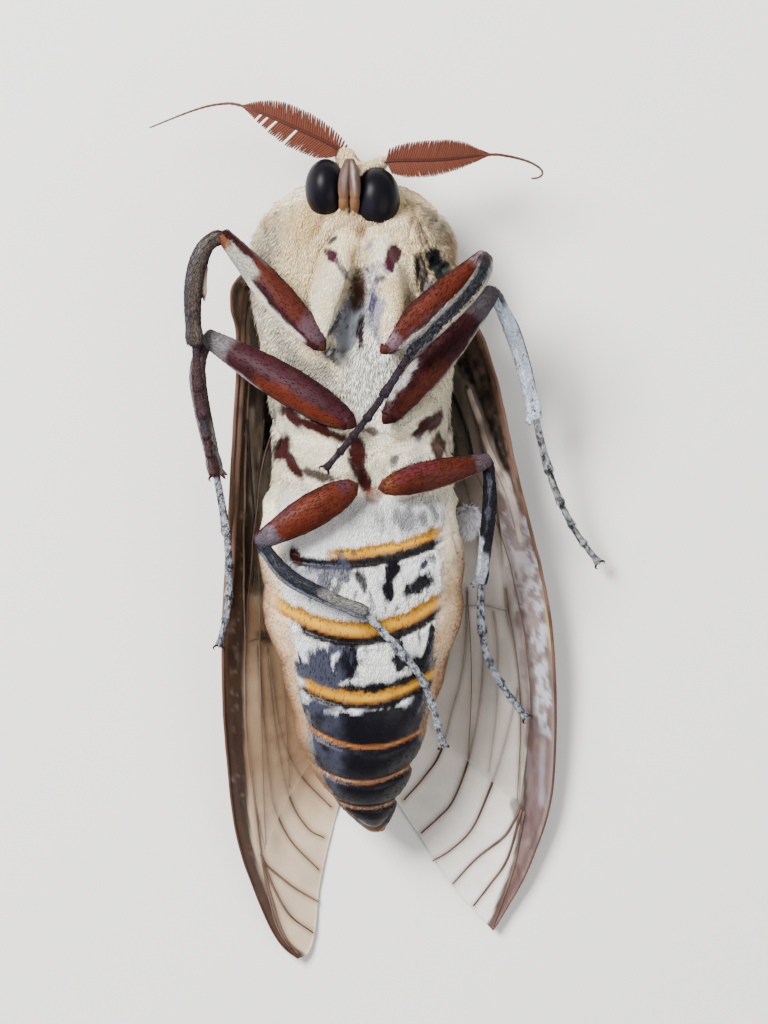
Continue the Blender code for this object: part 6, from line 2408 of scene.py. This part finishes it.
    def _with_strip(self, places: np.ndarray, points: np.ndarray, colours: np.ndarray) -> np.ndarray:
        """Adds the dark, scaled strip behind the costa and the costa's own lines."""
        plan = self.plan
        away, share = path_distance(places, smooth_line((*plan.costa, plan.tip), 80))
        stops = np.linspace(0, 1, len(plan.strip))
        width = np.interp(share, stops, plan.strip)
        strip = ease(away + 0.4 * noise(points * (1.0, 0.2, 1.0), 1.2, 102, 3), width + 0.3, width - 0.3)
        brown = np.column_stack([np.interp(share, stops, tone) for tone in zip(*plan.strip_tones)])
        brown = blend(brown, DARK_MARK_AND_GAP_SHADE, ease(noise(points * (1, 0.2, 1), 0.8, 103, 3), 0.1, 0.8) * 0.45)
        brown = blend(brown, STRIP_GREY, ease(noise(points * (1, 0.5, 1), 0.5, 104, 3), 0.3, 0.7) * 0.4)
        colours = colours * (1 - strip[:, None]) + brown * strip[:, None]
        inner_line = ease(np.abs(away - width + 0.25), 0.32, 0.1)
        colours = blend(colours, STRIP_EDGE, inner_line * 0.75)
        colours = blend(colours, PINK_TAN, ease(away, 0.55, 0.3) * ease(places[:, 1], -22.0, -8.0) * 0.5)
        return blend(colours, COSTA_LINE, ease(np.abs(away - 0.75), 0.24, 0.08) * 0.75)

    def _under_tints(self, points: np.ndarray) -> np.ndarray:
        """The colours of the side that lies towards the floor: grey bark with fine dark waves."""
        colours = np.tile(BARK, (len(points), 1))
        colours = blend(colours, BARK_CLOUD, ease(noise(points, 5.0, 110, 3), -0.1, 0.7))
        waves = noise(points * (0.35, 1.0, 1.0), 0.9, 111, 3)
        return blend(colours, BARK_WAVE, ease(np.abs(waves), 0.22, 0.05) * 0.8)

    def _vein_paths(self) -> tuple:
        """This wing's vein paths, seen from above."""
        return self.plan.hind_veins if self.hind else self.plan.veins

    def _rib(self, path: tuple, radius: float, above: float, tint: tuple, taper: float) -> Shape:
        """One rib along a path, tapered to its end."""
        count = int(np.clip(9 * len(path), 18, 150))
        line, _ = self._placed(smooth_line(path, count), np.full(count, above))
        line[:, 2] = np.maximum(line[:, 2], 0.32)
        radii = radius * np.interp(np.linspace(0, 1, count), (0, 0.5, 1), (1.0, 0.9, taper))
        rib = limb(line, radii, radii * 0.8, 8, 0.5)
        tone = noise(rib.points, 2.0, 120)
        rib.tints = np.tile(tint, (len(rib.points), 1))
        rib.tints = blend(rib.tints, VEIN_DARK, ease(tone, 0.0, 0.7) * 0.6)
        return rib

    def _veins(self) -> Shape:
        """The veins, half sunk in the membrane, the ribs of its folds and the rib along the costa."""
        paths = self._vein_paths()
        radius = self.vein_radius * (0.5 if self.hind else 1.0)
        shapes = [self._rib(path, radius, 0.19, VEIN_BROWN, 0.55) for path in paths[:-1]]
        shapes.append(self._rib(paths[-1], radius * 0.6, 0.19, VEIN_BROWN, 0.8))
        if not self.hind:
            shapes += [self._rib(*rib, 0.7) for rib in self.plan.ribs]
        costa, tip = self._edges()[:2]
        girth, span = (0.05, (40.0, 30.0)) if self.hind else (0.22, (-8.0, -20.0))
        rim = self._rib(smooth_line((*costa, tip), 70), girth, 0.05, COSTA_BROWN, 0.35)
        rim.tints = blend(rim.tints, COSTA_DARK, 0.85 * ease(rim.points[:, 1], *span))
        return joined([*shapes, rim])


@dataclass
class Fluff:
    """The loose white tuft between the belly's side and the left wing."""

    middle: tuple = (9.9, 1.5, 6.6)
    radii: tuple = (0.85, 1.45, 0.8)
    tint: tuple = (0.88, 0.88, 0.94)

    def build(self, shop: Workshop) -> None:
        """Makes the tuft's core and the hair on it."""
        core = egg(self.middle, self.radii, 28, 20)
        count = len(core.points)
        core.points += 0.12 * noise(core.points, 1.2, 130)[:, None]
        core.tints, core.cover = np.tile(self._tone(core.points)[:1], (count, 1)), np.ones(count)
        core.reach, core.lift = np.full(count, 1.15), np.full(count, 0.55)
        base = shop.mesh_object("side_tuft", core, COAT)
        coat = Coat("side_tuft_hair", COAT, 1500, 0.7, stray=0.45)
        shop.finish(coat.grow(shop, base, core.cover, self._tone, self._map), Slot.FUR)
        shop.finish(base, Slot.FUR)

    def _tone(self, points: np.ndarray) -> np.ndarray:
        """A cool white, the same all over."""
        return np.tile(self.tint, (len(points), 1))

    def _map(self, roots: np.ndarray) -> np.ndarray:
        """The tuft unrolled about its length."""
        out = (roots - self.middle) / self.radii
        turn = np.arctan2(out[:, 0], -out[:, 2]) / (2 * math.pi) + 0.5
        return np.column_stack([turn, np.clip(out[:, 1] * 0.48 + 0.5, 0, 1)])


@dataclass
class Studio:
    """The plain floor, the soft light and the camera over the moth."""

    camera_height: float = 450.0
    frame_height: float = 117.76
    look_at: tuple = (0.48, 2.49)
    floor_size: float = 4000.0

    def build(self) -> None:
        """Makes floor, lights and camera."""
        half = self.floor_size / 2
        shape = [(-half, -half, 0.0), (half, -half, 0.0), (half, half, 0.0), (-half, half, 0.0)]
        mesh = bpy.data.meshes.new("studio_floor")
        mesh.from_pydata([Vector(p) * MM for p in shape], [], [(0, 1, 2, 3)])
        material = bpy.data.materials.new("studio_floor")
        material.use_nodes = True
        shader = material.node_tree.nodes["Principled BSDF"]
        shader.inputs["Base Color"].default_value = (0.83, 0.81, 0.78, 1.0)
        shader.inputs["Roughness"].default_value = 0.7
        shader.inputs["Specular IOR Level"].default_value = 0.2
        mesh.materials.append(material)
        shown("studio_floor", mesh)
        self._light("key_light", (-0.36, 0.3, 0.48), 0.28, 14.0)
        self._light("fill_light", (0.45, -0.25, 0.5), 0.6, 3.4)
        world = bpy.data.worlds.new("studio")
        world.use_nodes = True
        sky = world.node_tree.nodes["Background"]
        sky.inputs["Color"].default_value = (0.97, 0.98, 1.0, 1.0)
        sky.inputs["Strength"].default_value = 0.42
        bpy.context.scene.world = world
        self._camera()

    def _light(self, name: str, place: tuple, size: float, power: float) -> None:
        """One square soft light, aimed at the moth."""
        lamp = bpy.data.lights.new(name, "AREA")
        lamp.size = size
        lamp.energy = power
        piece = shown(name, lamp)
        piece.location = place
        piece.rotation_euler = (-Vector(place)).to_track_quat("-Z", "Y").to_euler()

    def _camera(self) -> None:
        """The camera, straight above, with the photograph's framing."""
        data = bpy.data.cameras.new("camera")
        data.sensor_fit = "VERTICAL"
        data.angle_y = 2 * math.atan(self.frame_height / 2 / self.camera_height)
        data.clip_start = 0.01
        camera = shown("camera", data)
        camera.location = Vector((*self.look_at, self.camera_height)) * MM
        bpy.context.scene.camera = camera


def main() -> None:
    """Builds the moth piece by piece and reports each one."""
    logging.basicConfig(level=logging.INFO, format="%(message)s")
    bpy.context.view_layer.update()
    shop = Workshop()
    Studio().build()
    Body().build(shop)
    Head().build(shop)
    Feeler(
        Side.RIGHT,
        stem=(
            (-3.9, 41.6, 10.6), (-4.9, 43.3, 11.4), (-10.4, 46.0, 11.0),
            (-15.5, 48.2, 9.6), (-18.0, 48.5, 8.6), (-21.1, 47.9, 7.4), (-26.1, 46.1, 6.0),
        ),
        comb_end=0.54,
        upper_reach=(1.1, 1.8, 2.15, 2.35, 2.35, 2.2, 1.8, 1.1, 0.2),
        lower_reach=(1.5, 2.3, 2.5, 2.5, 2.3, 1.9, 1.4, 0.8, 0.2),
        gaps=((1, 0.44, 0.47), (1, 0.64, 0.67), (1, 0.74, 0.76), (1, 0.81, 0.83)),
    ).build(shop)
    Feeler(
        Side.LEFT,
        stem=(
            (-0.9, 41.3, 10.6), (1.0, 41.8, 11.4), (7.2, 42.0, 11.0), (12.3, 42.7, 9.6),
            (14.4, 42.6, 9.0), (16.6, 42.1, 8.4), (18.0, 41.4, 8.0), (18.4, 40.75, 7.8),
            (17.95, 40.3, 7.6), (17.2, 40.2, 7.5),
        ),
        comb_start=0.085,
        comb_end=0.62,
        tip_radius=0.12,
        upper_reach=(1.5, 2.1, 2.35, 2.45, 2.4, 2.2, 1.7, 0.9, 0.2),
        lower_reach=(1.6, 2.1, 2.1, 2.0, 1.75, 1.4, 1.0, 0.6, 0.15),
    ).build(shop)
    Fluff().build(shop)
    for name, plan in LEGS.items():
        Leg(name, plan).build(shop)
    for plan in FOLDS:
        Wing(plan, hind=False).build(shop)
        Wing(plan, hind=True).build(shop)


if __name__ == "__main__":
    main()
